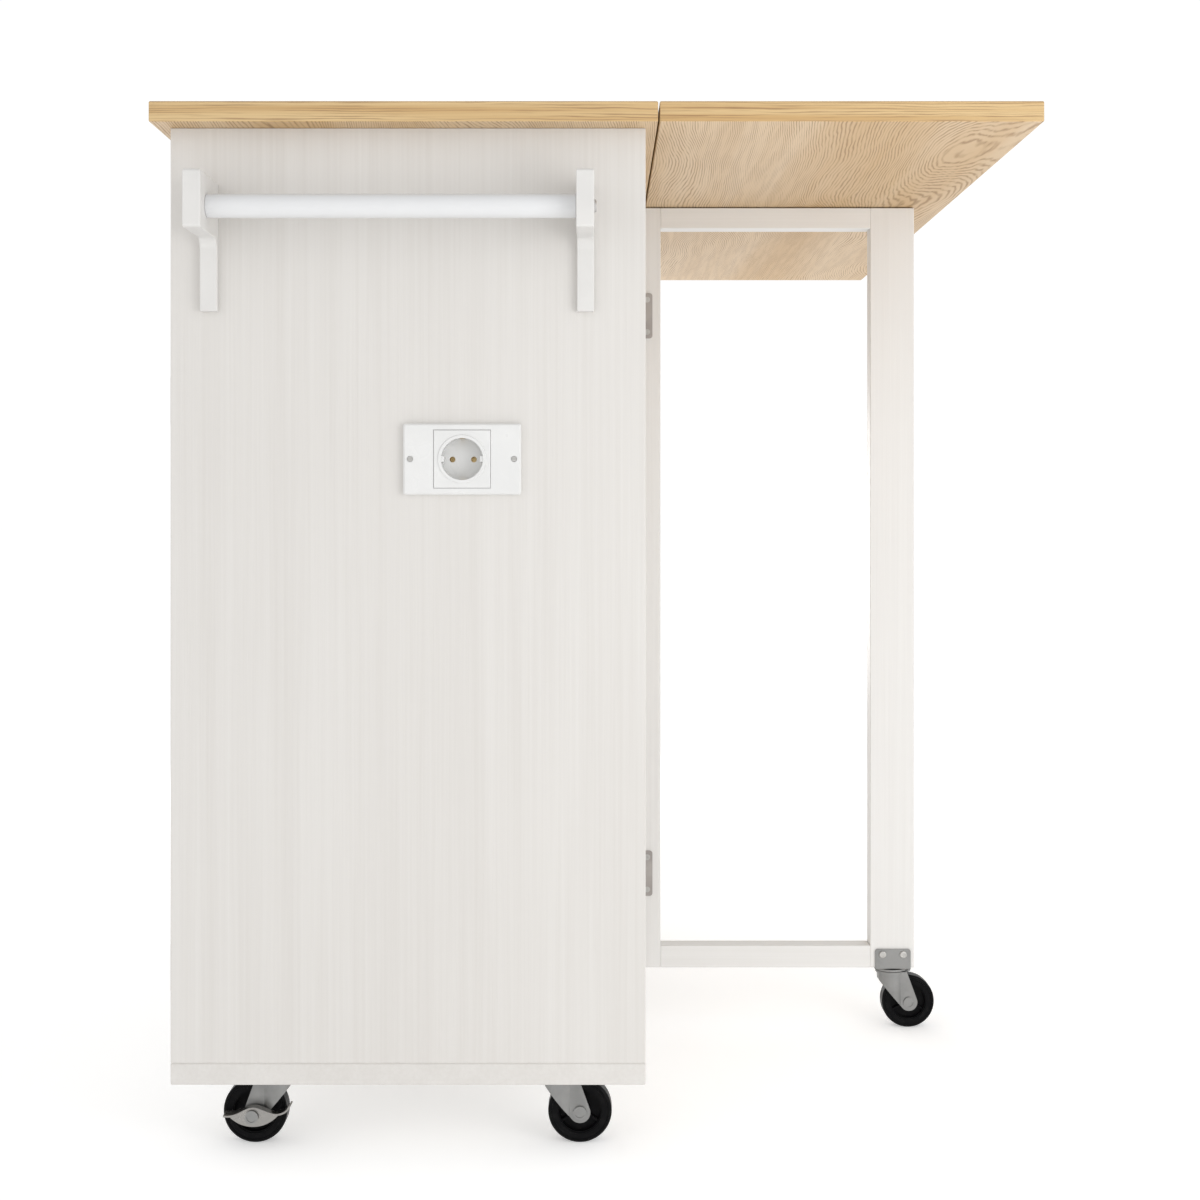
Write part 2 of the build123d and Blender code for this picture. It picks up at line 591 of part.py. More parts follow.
SOCKET_FACE_Y = CAB_Y0 - SOCKET_PLATE_THICK
SOCKET_FRONT = Plane(origin=(SOCKET_X, SOCKET_FACE_Y, SOCKET_Z), x_dir=(1, 0, 0), z_dir=(0, -1, 0))
INSERT_PROUD = 0.4
INSERT_GAP = 0.3
RING_PROUD = 1.0
INSERT_DEPTH = RECESS_DEPTH + RECESS_FLOOR
SOCKET_SCREW_RADIUS = 2.4
SOCKET_SCREW_HEAD = 1.6
SOCKET_SCREW_LENGTH = 12.0
SOCKET_SCREW_SLOT = (4.0, 0.8, 1.4)
CLIP_THICK = 1.0
CLIP_FRONT = 2.5
CLIP_BACK = 0.2
GUIDE = (3.0, 5.0)
GUIDE_SINK = 0.5
PIN_HOLE = 2.6
PLATE_ROUND = 2.0
PLATE_EASE = 1.5
INSERT_EASE = 0.6
RING_EASE = 0.5
SINK_DEPTH = 2.0
INSERT_SCREW_PLACES = ((-SOCKET_SCREW, 0), (SOCKET_SCREW, 0))

with BuildPart() as socket_plate:
    with BuildSketch(SOCKET_FRONT) as outline:
        Rectangle(*SOCKET_PLATE)
        fillet(outline.vertices(), PLATE_ROUND)
    extrude(amount=-SOCKET_PLATE_THICK)
    front_edges = socket_plate.edges().group_by(Axis.Y)[0]
    chamfer(front_edges, PLATE_EASE)
    with BuildSketch(SOCKET_FRONT):
        Rectangle(SOCKET_INSERT[0] + 2 * INSERT_GAP, SOCKET_INSERT[1] + 2 * INSERT_GAP)
    extrude(amount=-SOCKET_PLATE_THICK, mode=Mode.SUBTRACT)
    with Locations(SOCKET_FRONT):
        with Locations(*INSERT_SCREW_PLACES):
            CounterBoreHole(
                SOCKET_SCREW_SHANK + RUNNING_GAP,
                SOCKET_SCREW_RADIUS + INSERT_GAP,
                SINK_DEPTH,
                SOCKET_PLATE_THICK,
            )
socket_plate.part.label = "socket_plate"
export_step(socket_plate.part, "parts/socket_plate.step")

with BuildPart() as socket_insert:
    with BuildSketch(SOCKET_FRONT.offset(INSERT_PROUD)):
        Rectangle(*SOCKET_INSERT)
    extrude(amount=-INSERT_DEPTH)
    chamfer(socket_insert.edges().group_by(Axis.Y)[0], INSERT_EASE)
    with BuildSketch(SOCKET_FRONT.offset(INSERT_PROUD)):
        Circle(RECESS_RING)
    extrude(amount=RING_PROUD)
    chamfer(socket_insert.edges().group_by(Axis.Y)[0], RING_EASE)
    with BuildSketch(SOCKET_FRONT.offset(INSERT_PROUD + RING_PROUD)):
        Circle(RECESS_RADIUS)
    extrude(amount=-RECESS_DEPTH - RING_PROUD, mode=Mode.SUBTRACT)
    with Locations(SOCKET_FRONT.offset(INSERT_PROUD)):
        for side in (-1, 1):
            with Locations((side * (RECESS_RADIUS - GUIDE[0] / 2 + GUIDE_SINK), 0, 0)):
                Box(GUIDE[0], GUIDE[1], RECESS_DEPTH, align=DOWNWARD)
            with Locations((side * PIN_SPACING, 0, 0)):
                Cylinder(PIN_HOLE, INSERT_DEPTH, align=DOWNWARD, mode=Mode.SUBTRACT)
            with Locations((0, side * (RECESS_RADIUS + CLIP_THICK / 2), 0)):
                Box(
                    CLIP_WIDTH + 2 * INSERT_GAP,
                    CLIP_THICK + 2 * INSERT_GAP,
                    RECESS_DEPTH,
                    align=DOWNWARD,
                    mode=Mode.SUBTRACT,
                )
socket_insert.part.label = "socket_insert"
export_step(socket_insert.part, "parts/socket_insert.step")

SLEEVE_LENGTH = 11.0
SLEEVE_RADIUS = 3.6
SLEEVE_BORE = 2.5
SLEEVE_END = 2.0
CLIP_LENGTH = RECESS_DEPTH - CLIP_FRONT - CLIP_BACK

with BuildPart() as socket_contacts:
    with Locations(SOCKET_FRONT.offset(INSERT_PROUD)):
        for side in (-1, 1):
            with Locations((0, side * (RECESS_RADIUS + CLIP_THICK / 2), -CLIP_FRONT)):
                Box(CLIP_WIDTH, CLIP_THICK, CLIP_LENGTH, align=DOWNWARD)
            with Locations((side * PIN_SPACING, 0, -INSERT_DEPTH)):
                Cylinder(SLEEVE_RADIUS, SLEEVE_LENGTH, align=DOWNWARD)
                bore_depth = SLEEVE_LENGTH - SLEEVE_END
                Cylinder(SLEEVE_BORE, bore_depth, align=DOWNWARD, mode=Mode.SUBTRACT)
socket_contacts.part.label = "socket_contacts"
export_step(socket_contacts.part, "parts/socket_contacts.step")

BACK_BOX = (76.0, 70.0, 42.0)
BACK_BOX_WALL = 2.0
GLAND_RADIUS = 7.0
GLAND_BORE = 3.6
GLAND_LENGTH = 12.0
GLAND_STEP = 1.5
BACK_BOX_ROUND = 4.0

with BuildPart() as socket_back_box:
    box_face = Plane(origin=(SOCKET_X, NEAR_BAY[0], SOCKET_Z), x_dir=(1, 0, 0), z_dir=(0, -1, 0))
    with BuildSketch(box_face) as outline:
        Rectangle(BACK_BOX[0], BACK_BOX[1])
        fillet(outline.vertices(), BACK_BOX_ROUND)
    extrude(amount=-BACK_BOX[2])
    offset(amount=-BACK_BOX_WALL, openings=socket_back_box.faces().sort_by(Axis.Y)[0])
    gland_y = NEAR_BAY[0] + BACK_BOX[2] / 2
    gland = Plane(origin=(SOCKET_X, gland_y, SOCKET_Z - BACK_BOX[1] / 2), z_dir=(0, 0, -1))
    with BuildSketch(gland):
        RegularPolygon(GLAND_RADIUS, 6)
    extrude(amount=GLAND_LENGTH / 2)
    with BuildSketch(gland.offset(GLAND_LENGTH / 2)):
        Circle(GLAND_RADIUS - GLAND_STEP)
    extrude(amount=GLAND_LENGTH / 2)
    with BuildSketch(gland.offset(GLAND_LENGTH)):
        Circle(GLAND_BORE)
    extrude(amount=-GLAND_LENGTH - BACK_BOX_WALL, mode=Mode.SUBTRACT)
socket_back_box.part.label = "socket_back_box"
export_step(socket_back_box.part, "parts/socket_back_box.step")

# ---------------------------------------------------------------- hinge halves and pins


def gate_half(moving):
    """One half of a gate hinge in its own frame."""
    return hinge_half(
        GATE_HINGE_LENGTH, GATE_HINGE_WIDTH, GATE_HINGE_PLATE, GATE_HINGE_OFFSET, GATE_KNUCKLE,
        GATE_PIN + RUNNING_GAP, MOVING_KNUCKLES if moving else FIXED_KNUCKLES,
        GATE_HINGE_SCREWS, WOOD_SHANK, WOOD_HEAD,
    )


def leaf_half(moving):
    """One half of a leaf hinge in its own frame."""
    return hinge_half(
        LEAF_HINGE_LENGTH, LEAF_HINGE_WIDTH, LEAF_HINGE_PLATE, LEAF_HINGE_OFFSET, LEAF_KNUCKLE,
        LEAF_PIN + RUNNING_GAP, MOVING_KNUCKLES if moving else FIXED_KNUCKLES,
        LEAF_HINGE_SCREWS, SMALL_SHANK, SMALL_HEAD,
    )


def door_half(moving):
    """One half of a door hinge in its own frame."""
    return hinge_half(
        DOOR_HINGE_LENGTH, DOOR_MOVING_WIDTH if moving else DOOR_FIXED_WIDTH,
        DOOR_HINGE_PLATE, DOOR_HINGE_OFFSET, DOOR_KNUCKLE,
        DOOR_PIN + RUNNING_GAP, MOVING_KNUCKLES if moving else FIXED_KNUCKLES,
        DOOR_MOVING_SCREWS if moving else DOOR_FIXED_SCREWS, SMALL_SHANK, SMALL_HEAD,
    )


HINGE_SETS = (
    ("gate_hinge_fixed_plates", gate_half(False), GATE_FIXED),
    ("gate_hinge_plates", gate_half(True), GATE_MOVING),
    ("leaf_hinge_fixed_plates", leaf_half(False), LEAF_FIXED),
    ("leaf_hinge_plates", leaf_half(True), LEAF_MOVING),
    ("door_hinge_fixed_plates", door_half(False), DOOR_FIXED),
)

for name, half, planes in HINGE_SETS:
    with BuildPart() as hinge_plates:
        for plane in planes:
            add(placed(half, plane))
    hinge_plates.part.label = name
    export_step(hinge_plates.part, f"parts/{name}.step")

with BuildPart() as hinge_pins:
    for plane in GATE_FIXED:
        add(placed(hinge_pin(GATE_HINGE_LENGTH, GATE_PIN, GATE_KNUCKLE), plane))
    for plane in LEAF_FIXED:
        add(placed(hinge_pin(LEAF_HINGE_LENGTH, LEAF_PIN, LEAF_KNUCKLE), plane))
    for plane in DOOR_FIXED:
        add(placed(hinge_pin(DOOR_HINGE_LENGTH, DOOR_PIN, DOOR_KNUCKLE), plane))
hinge_pins.part.label = "hinge_pins"
export_step(hinge_pins.part, "parts/hinge_pins.step")

# ---------------------------------------------------------------- gate

GATE_BOARDS = {
    "gate_stile": ((STILE_START, GATE_BOTTOM), (STILE_END, GATE_TOP)),
    "gate_post": ((POST_START, GATE_BOTTOM), (POST_END, GATE_TOP)),
    "gate_top_rail": ((STILE_END, GATE_TOP - GATE_TOP_RAIL), (POST_START, GATE_TOP)),
    "gate_bottom_rail": ((STILE_END, GATE_BOTTOM), (POST_START, GATE_BOTTOM + GATE_BOTTOM_RAIL)),
}
GATE_EASE = 0.7
BRACKET_SHEET = 1.8
FLANGE_HALF = 19.7
FLANGE_TOP = 88.0
FLANGE_CORNER = 3.0
BRACKET_BEND = 1.4
FLANGE_SCREW_X = 11.45
FLANGE_SCREW_Z = 82.0
FLANGE_FACES = (
    Plane(origin=(GATE_CASTER_X, GATE_Y0, 0), x_dir=(1, 0, 0), z_dir=(0, -1, 0)),
    Plane(origin=(GATE_CASTER_X, GATE_Y1, 0), x_dir=(-1, 0, 0), z_dir=(0, 1, 0)),
)
FLANGE_SCREW_PLANES = [
    Plane(
        origin=face.from_local_coords((x, FLANGE_SCREW_Z, 0)),
        x_dir=face.x_dir,
        z_dir=face.z_dir,
    )
    for face in FLANGE_FACES
    for x in (-FLANGE_SCREW_X, FLANGE_SCREW_X)
]


for name, (low, high) in GATE_BOARDS.items():
    with BuildPart() as board:
        block((low[0], GATE_Y0, low[1]), (high[0], GATE_Y1, high[1]))
        chamfer(board.edges(), GATE_EASE)
        if name == "gate_stile":
            moving = screw_planes(GATE_MOVING, GATE_HINGE_SCREWS, GATE_HINGE_OFFSET)
            bores(moving, WOOD_SHANK, PILOT_DEPTH)
        if name == "gate_post":
            bores(FLANGE_SCREW_PLANES, PAN_SHANK, PAN_LENGTH)
    board.part.label = name
    export_step(board.part, f"parts/{name}.step")

BRACKET_BASE_Z = GATE_BOTTOM - BRACKET_SHEET

# The fork is pressed from sheet: round about the swivel, and flat past a crease on each side.
FORK_TOP = 62.5
FORK_SHEET = 2.0
FORK_HALF_WIDTH = 14.5
FORK_CREASE = 8.4
FORK_BULGE = (FORK_HALF_WIDTH**2 + FORK_CREASE**2) ** 0.5
FORK_HALF_LENGTH = 15.5
FORK_FOOT = 9.5
FORK_SHOULDER_Z = 52.0
FORK_FRONT_STEP = 1.0
FORK_BACK_STEP = 1.5
FORK_DISC = 17.5
FORK_EAR = 3.0
KINGPIN_HEAD = 6.4
KINGPIN_HEAD_THICK = 1.2
KINGPIN_CLEARANCE = 0.3
KINGPIN_HEAD_TOP = FORK_TOP - FORK_SHEET - KINGPIN_CLEARANCE


def race_and_kingpin(base_z):
    """Upper ball race and rivet of a caster, in the caster's own frame, added where it is called."""
    race_height = base_z - RACE_BOTTOM
    with Locations((0, 0, RACE_BOTTOM)):
        Cylinder(RACE_RADIUS, race_height, align=UPWARD)
    with Locations((0, 0, KINGPIN_HEAD_TOP)):
        Cylinder(KINGPIN_RADIUS, RACE_BOTTOM - KINGPIN_HEAD_TOP, align=UPWARD)
        Cylinder(KINGPIN_HEAD, KINGPIN_HEAD_THICK, align=DOWNWARD)


with BuildPart() as gate_caster_bracket:
    base = Plane(origin=(GATE_CASTER_X, GATE_MID_Y, 0), x_dir=(1, 0, 0), z_dir=(0, 0, 1))
    for face in FLANGE_FACES:
        with BuildSketch(face) as outline:
            with Locations((0, (BRACKET_BASE_Z + FLANGE_TOP) / 2)):
                Rectangle(2 * FLANGE_HALF, FLANGE_TOP - BRACKET_BASE_Z)
            fillet(outline.vertices().group_by(Axis.Z)[-1], FLANGE_CORNER)
        extrude(amount=BRACKET_SHEET)
    low = (GATE_CASTER_X - FLANGE_HALF, GATE_Y0 - BRACKET_SHEET, BRACKET_BASE_Z)
    block(low, (GATE_CASTER_X + FLANGE_HALF, GATE_Y1 + BRACKET_SHEET, GATE_BOTTOM))
    bends = gate_caster_bracket.edges().filter_by(Axis.X).group_by(Axis.Z)[0]
    fillet(bends, BRACKET_BEND)
    with Locations(*[plane.offset(BRACKET_SHEET) for plane in FLANGE_SCREW_PLANES]):
        Hole(PAN_SHANK + RUNNING_GAP, BRACKET_SHEET)
    with Locations(base):
        race_and_kingpin(BRACKET_BASE_Z)
gate_caster_bracket.part.label = "gate_caster_bracket"
export_step(gate_caster_bracket.part, "parts/gate_caster_bracket.step")

with BuildPart() as gate_screws:
    for plane in screw_planes(GATE_MOVING, GATE_HINGE_SCREWS, GATE_HINGE_OFFSET - GATE_HINGE_PLATE):
        add(placed(WOOD_SCREW, plane))
    for plane in FLANGE_SCREW_PLANES:
        add(placed(PAN_SCREW, plane.offset(BRACKET_SHEET)))
gate_screws.part.label = "gate_screws"
export_step(gate_screws.part, "parts/gate_screws.step")

# ---------------------------------------------------------------- casters

with BuildPart() as caster_plates:
    for caster in CABINET_CASTERS:
        x, y = caster["place"]
        with BuildSketch(Plane.XY.offset(BOTTOM_HEIGHT)):
            with Locations((x, y)):
                RectangleRounded(2 * PLATE_HALF, 2 * PLATE_HALF, PLATE_CORNER)
        extrude(amount=-PLATE_THICK)
        with Locations((x, y, 0)):
            race_and_kingpin(BOTTOM_HEIGHT - PLATE_THICK)
    with Locations(*CASTER_SCREW_PLANES):
        CounterSinkHole(
            CASTER_SCREW_SHANK + RUNNING_GAP, CASTER_SCREW_HEAD + RUNNING_GAP, PLATE_THICK * 2
        )
caster_plates.part.label = "caster_plates"
export_step(caster_plates.part, "parts/caster_plates.step")

AXLE_CAP_RADIUS = 6.0
AXLE_CAP = 2.2
AXLE_DISH_RADIUS = 4.3
AXLE_DISH = 0.8
CAP_GAP = 0.1
LEVER_SHEET = 1.6
LEVER_GAP = 0.5
LEVER_REACH = 9.4
LEVER_PEDAL_BACK = 5.6
LEVER_INNER_Y = FORK_BULGE + LEVER_GAP
BRAKE_CAP_Y = LEVER_INNER_Y + LEVER_REACH + LEVER_GAP
AXLE_POINT = (TRAIL, 0, WHEEL_RADIUS)
SIDEWAYS = Plane(origin=AXLE_POINT, x_dir=(1, 0, 0), z_dir=(0, -1, 0))


def fork_plan(inset):
    """Plan of the fork, round about the swivel and straight to its tail, moved in by inset."""
    tail = TRAIL + 2 * FORK_FOOT
    with BuildSketch() as plan:
        Circle(FORK_BULGE - inset)
        with Locations((tail / 2, 0)):
            Rectangle(tail, 2 * (FORK_HALF_WIDTH - inset))
    return plan.sketch


def fork(brake_side):
    """Swivelling fork with its axle, in the caster's own frame: swivel on Z, wheel towards +X.

    brake_side is -1 or 1 for the Y side where the axle is longer to carry a brake lever, else 0.
    """
    with BuildPart() as body:
        with BuildSketch(Plane.XZ.offset(-FORK_BULGE)):
            with BuildLine():
                Polyline(
                    (-FORK_HALF_LENGTH, FORK_TOP),
                    (-FORK_HALF_LENGTH + FORK_FRONT_STEP, FORK_SHOULDER_Z),
                    (FORK_HALF_LENGTH + FORK_BACK_STEP, FORK_SHOULDER_Z),
                    (FORK_HALF_LENGTH, FORK_TOP),
                    close=True,
                )
            make_face()
            with Locations((TRAIL, WHEEL_RADIUS)):
                Circle(FORK_FOOT)
            make_hull()
        extrude(amount=2 * FORK_BULGE)
        extrude(fork_plan(0), amount=FORK_TOP, mode=Mode.INTERSECT)
        extrude(fork_plan(FORK_SHEET), amount=FORK_TOP - FORK_SHEET, mode=Mode.SUBTRACT)
        with Locations((0, 0, FORK_TOP)):
            Cylinder(FORK_DISC, FORK_SHEET, align=DOWNWARD)
            with Locations((FORK_DISC + FORK_EAR / 3, 0, 0)):
                Cylinder(FORK_EAR, FORK_SHEET, align=DOWNWARD)
            Hole(KINGPIN_RADIUS + RUNNING_GAP, FORK_SHEET)
        with Locations(SIDEWAYS):
            Cylinder(AXLE_RADIUS + RUNNING_GAP, 3 * FORK_HALF_WIDTH, mode=Mode.SUBTRACT)
            for side in (-1, 1):
                reach = BRAKE_CAP_Y if side == brake_side else FORK_HALF_WIDTH + CAP_GAP
                with Locations(Rotation(0, 0 if side < 0 else 180, 0)):
                    Cylinder(AXLE_RADIUS, reach, align=UPWARD)
                    with Locations((0, 0, reach)):
                        Cylinder(AXLE_CAP_RADIUS, AXLE_CAP, align=UPWARD)
                        with Locations((0, 0, AXLE_CAP)):
                            Cylinder(AXLE_DISH_RADIUS, 2 * AXLE_DISH, mode=Mode.SUBTRACT)
    return body.part


TREAD_INNER = 19.0
TREAD_STEP = 1.2
TREAD_ROUND = 3.0
BEAD_RADIUS = WHEEL_RADIUS - TREAD_ROUND
BEAD_GROOVE = 0.8
WEB_HALF = 2.5
HUB_RADIUS = 9.0
HUB_HALF = 11.8
RIB_COUNT = 3
RIB_THICK = 1.6
RIB_HALF = 7.0
RIB_BITE = 1.0


def wheel():
    """Wheel on the local Z axis through the origin, bored for its axle."""
    with BuildPart() as body:
        Cylinder(WHEEL_RADIUS, 2 * WHEEL_HALF_WIDTH)
        fillet(body.edges().filter_by(GeomType.CIRCLE), TREAD_ROUND)
        for side in (-1, 1):
            with Locations((0, 0, side * (WEB_HALF + WHEEL_HALF_WIDTH / 2))):
                Cylinder(TREAD_INNER, WHEEL_HALF_WIDTH, mode=Mode.SUBTRACT)
        Cylinder(HUB_RADIUS, 2 * HUB_HALF)
        with PolarLocations((HUB_RADIUS + TREAD_INNER) / 2, RIB_COUNT, 90):
            Box(TREAD_INNER - HUB_RADIUS + RIB_BITE, RIB_THICK, 2 * RIB_HALF)
        for side in (-1, 1):
            with BuildSketch(Plane.XY.offset(side * (WHEEL_HALF_WIDTH - TREAD_STEP))):
                Circle(TREAD_INNER + TREAD_STEP)
                Circle(TREAD_INNER, mode=Mode.SUBTRACT)
            extrude(amount=side * 2 * TREAD_STEP, mode=Mode.SUBTRACT)
            with BuildSketch(Plane.XY.offset(side * (WHEEL_HALF_WIDTH - BEAD_GROOVE))):
                Circle(BEAD_RADIUS)
                Circle(BEAD_RADIUS - BEAD_GROOVE, mode=Mode.SUBTRACT)
            extrude(amount=side * 2 * BEAD_GROOVE, mode=Mode.SUBTRACT)
        Cylinder(AXLE_RADIUS + RUNNING_GAP, 3 * HUB_HALF, mode=Mode.SUBTRACT)
    return body.part


LEVER_PLATE_TOP = ((-20.5, 0.2), (-8.0, 5.0), (0.0, 7.2), (9.0, 5.2), (24.0, 1.6))
LEVER_LEFT_PEDAL = ((-26.0, 0.5), (-19.0, 0.4), (-12.0, 2.6))
LEVER_RIGHT_PEDAL = ((23.0, 1.8), (29.0, 3.6), (34.0, 9.5))
LEVER_LIP = LEVER_LEFT_PEDAL + ((0.0, 7.4), (10.0, 5.0)) + LEVER_RIGHT_PEDAL
LEVER_KEEL_X = 0.5
LEVER_KEEL = -9.0
LEVER_BOSS = 6.5


def lever_lip(points, sign):
    """Face of a thin bent strip that follows points, in the lever's side view."""
    with BuildSketch() as strip:
        with BuildLine():
            Spline(*[(x * sign, z) for x, z in points])
        trace(line_width=LEVER_SHEET)
    return strip.sketch


def brake_lever(reversed_x):
    """Rocking brake lever around local Z (the axle, pointing outwards), with pedal lips.

    Its boss starts on local Z = 0. reversed_x mirrors it for the other end of the cabinet.
    """
    sign = -1 if reversed_x else 1
    plate_z = LEVER_REACH - LEVER_SHEET
    with BuildPart() as body:
        with BuildSketch(Plane.XY.offset(plate_z)):
            with BuildLine():
                crown = Spline(*[(x * sign, z) for x, z in LEVER_PLATE_TOP])
                ThreePointArc(crown @ 1, (LEVER_KEEL_X * sign, LEVER_KEEL), crown @ 0)
            make_face()
        extrude(amount=LEVER_SHEET)
        add(lever_lip(LEVER_LIP, sign))
        extrude(amount=LEVER_REACH)
        for points in (LEVER_LEFT_PEDAL, LEVER_RIGHT_PEDAL):
            add(lever_lip(points, sign))
            extrude(amount=-LEVER_PEDAL_BACK)
        Cylinder(LEVER_BOSS, plate_z, align=UPWARD)
        Cylinder(AXLE_RADIUS + RUNNING_GAP, 3 * LEVER_REACH, mode=Mode.SUBTRACT)
    return body.part


WHEEL = wheel()

for name, caster in CASTERS.items():
    x, y = caster["place"]
    turn = 0 if caster["trail"] > 0 else 180
    stand = Plane(Location((x, y, 0), (0, 0, turn)))
    outward = -1 if y < 0 else 1
    brake_side = outward * caster["trail"] if caster["brake"] else 0
    with BuildPart() as caster_fork:
        add(placed(fork(brake_side), stand))
    caster_fork.part.label = f"caster_fork_{name}"
    export_step(caster_fork.part, f"parts/caster_fork_{name}.step")
    axle_x = x + caster["trail"] * TRAIL
    with BuildPart() as caster_wheel:
        add(placed(WHEEL, Plane(origin=(axle_x, y, WHEEL_RADIUS), x_dir=(1, 0, 0), z_dir=(0, -1, 0))))
    caster_wheel.part.label = f"caster_wheel_{name}"
    export_step(caster_wheel.part, f"parts/caster_wheel_{name}.step")
    if caster["brake"]:
        lever_y = y + outward * LEVER_INNER_Y
        lever_stand = Plane(
            origin=(axle_x, lever_y, WHEEL_RADIUS),
            x_dir=(-outward, 0, 0),
            z_dir=(0, outward, 0),
        )
        with BuildPart() as lever:
            add(placed(brake_lever(outward > 0), lever_stand))
        lever.part.label = f"brake_lever_{name}"
        export_step(lever.part, f"parts/brake_lever_{name}.step")

# ---------------------------------------------------------------- doors

KNOB_BASE = 7.0
KNOB_NECK = 4.5
KNOB_HEAD = 13.0
KNOB_SCREW = 2.0
KNOB_SHANK = 15.0
KNOB_FLAT = 2.0
KNOB_RIM = 1.5
KNOB_WAIST = (KNOB_NECK, 7.0)
KNOB_UNDER = (KNOB_HEAD - 1.0, 13.5)
KNOB_WIDEST = (KNOB_HEAD, 15.5)
KNOB_OVER = (KNOB_HEAD - 0.8, 17.8)
KNOB_CROWN = (KNOB_HEAD / 2, 21.0)
KNOB_FROM_EDGE = 32.0
KNOB_DOOR_Z = 690.0


def knob():
    """Turned knob on local Z, its foot on Z = 0, with its screw behind."""
    with BuildPart() as body:
        with BuildSketch(Plane.XZ):
            with BuildLine():
                shank = Polyline((0, -KNOB_SHANK), (KNOB_SCREW, -KNOB_SHANK), (KNOB_SCREW, 0))
                foot = Line(shank @ 1, (KNOB_BASE, 0))
                rim = Line(foot @ 1, (KNOB_BASE, KNOB_RIM))
                neck = ThreePointArc(rim @ 1, KNOB_WAIST, KNOB_UNDER)
                side = ThreePointArc(neck @ 1, KNOB_WIDEST, KNOB_OVER)
                face = Spline(side @ 1, KNOB_CROWN, (KNOB_FLAT, KNOB_PROUD))
                Polyline(face @ 1, (0, KNOB_PROUD), shank @ 0)
            make_face()
        revolve(axis=Axis.Z)
    return body.part


KNOB = knob()


def knob_plane(y, z):
    """Plane of a knob's foot on the cabinet's front."""
    return Plane(origin=(CAB_X0, y, z), x_dir=(0, 1, 0), z_dir=(-1, 0, 0))


for name, door in DOORS.items():
    low_y, high_y = door["span"]
    moving = [door_plane(door, z, True) for z in DOOR_HINGE_Z]
    free_edge = high_y if door["hinge_side"] < 0 else low_y
    knob_stand = knob_plane(free_edge + door["hinge_side"] * KNOB_FROM_EDGE, KNOB_DOOR_Z)
    with BuildPart() as door_panel:
        block((CAB_X0, low_y, DOOR_Z[0]), (CAB_X0 + BOARD, high_y, DOOR_Z[1]))
        chamfer(door_panel.edges(), EDGE_EASE)
        bores(screw_planes(moving, DOOR_MOVING_SCREWS, DOOR_HINGE_OFFSET), SMALL_SHANK, PILOT_DEPTH)
        bores([knob_stand], KNOB_SCREW, BOARD)
    door_panel.part.label = name
    export_step(door_panel.part, f"parts/{name}.step")
    with BuildPart() as hardware:
        for plane in moving:
            add(placed(door_half(True), plane))
        screw_height = DOOR_HINGE_OFFSET - DOOR_HINGE_PLATE
        for plane in screw_planes(moving, DOOR_MOVING_SCREWS, screw_height):
            add(placed(SMALL_SCREW, plane))
        add(placed(KNOB, knob_stand))
    hardware.part.label = f"{name}_hardware"
    export_step(hardware.part, f"parts/{name}_hardware.step")

# ---------------------------------------------------------------- drawers

DRAWER_FRONT_Z = (MID_RAIL_Z[1] + BAY_GAP, TOP_Z0 - TOP_RAIL_THICK - BAY_GAP)
DRAWER_SIDE_GAP = 3.0
DRAWER_BOARD = 12.0
DRAWER_BASE = 6.0
DRAWER_BASE_LIFT = 8.0
DRAWER_TOP = 872.0
DRAWER_LENGTH = 345.0
DRAWER_CLEARANCE = 0.3
DRAWERS = {
    "near_drawer": {"bay": NEAR_BAY, "knobs": (0.5,)},
    "far_drawer": {"bay": FAR_BAY, "knobs": (0.25, 0.75)},
}

for name, drawer in DRAWERS.items():
    y0, y1 = drawer["bay"]
    knob_z = sum(DRAWER_FRONT_Z) / 2
    stands = [knob_plane(y0 + share * (y1 - y0), knob_z) for share in drawer["knobs"]]
    with BuildPart() as drawer_front:
        low = (CAB_X0, y0 + BAY_GAP, DRAWER_FRONT_Z[0])
        block(low, (CAB_X0 + BOARD, y1 - BAY_GAP, DRAWER_FRONT_Z[1]))
        chamfer(drawer_front.edges(), EDGE_EASE)
        bores(stands, KNOB_SCREW, BOARD)
    drawer_front.part.label = f"{name}_front"
    export_step(drawer_front.part, f"parts/{name}_front.step")
    x0 = CAB_X0 + BOARD
    x1 = x0 + DRAWER_LENGTH
    z0 = RUNNER_TOP + DRAWER_CLEARANCE
    left = y0 + DRAWER_SIDE_GAP
    right = y1 - DRAWER_SIDE_GAP
    inner = (left + DRAWER_BOARD + GLUE, right - DRAWER_BOARD - GLUE)
    base_z = z0 + DRAWER_BASE_LIFT
    with BuildPart() as drawer_box:
        block((x0, left, z0), (x1, left + DRAWER_BOARD, DRAWER_TOP))
        block((x0, right - DRAWER_BOARD, z0), (x1, right, DRAWER_TOP))
        block((x0, inner[0], z0), (x0 + DRAWER_BOARD, inner[1], DRAWER_TOP))
        block((x1 - DRAWER_BOARD, inner[0], z0), (x1, inner[1], DRAWER_TOP))
        base_x = (x0 + DRAWER_BOARD + GLUE, x1 - DRAWER_BOARD - GLUE)
        block((base_x[0], inner[0], base_z), (base_x[1], inner[1], base_z + DRAWER_BASE))
    drawer_box.part.label = f"{name}_box"
    export_step(drawer_box.part, f"parts/{name}_box.step")
    with BuildPart() as drawer_knobs:
        for stand in stands:
            add(placed(KNOB, stand))
    drawer_knobs.part.label = f"{name}_knobs"
    export_step(drawer_knobs.part, f"parts/{name}_knobs.step")

# ---------------------------------------------------------------- screws of the cabinet and the leaf

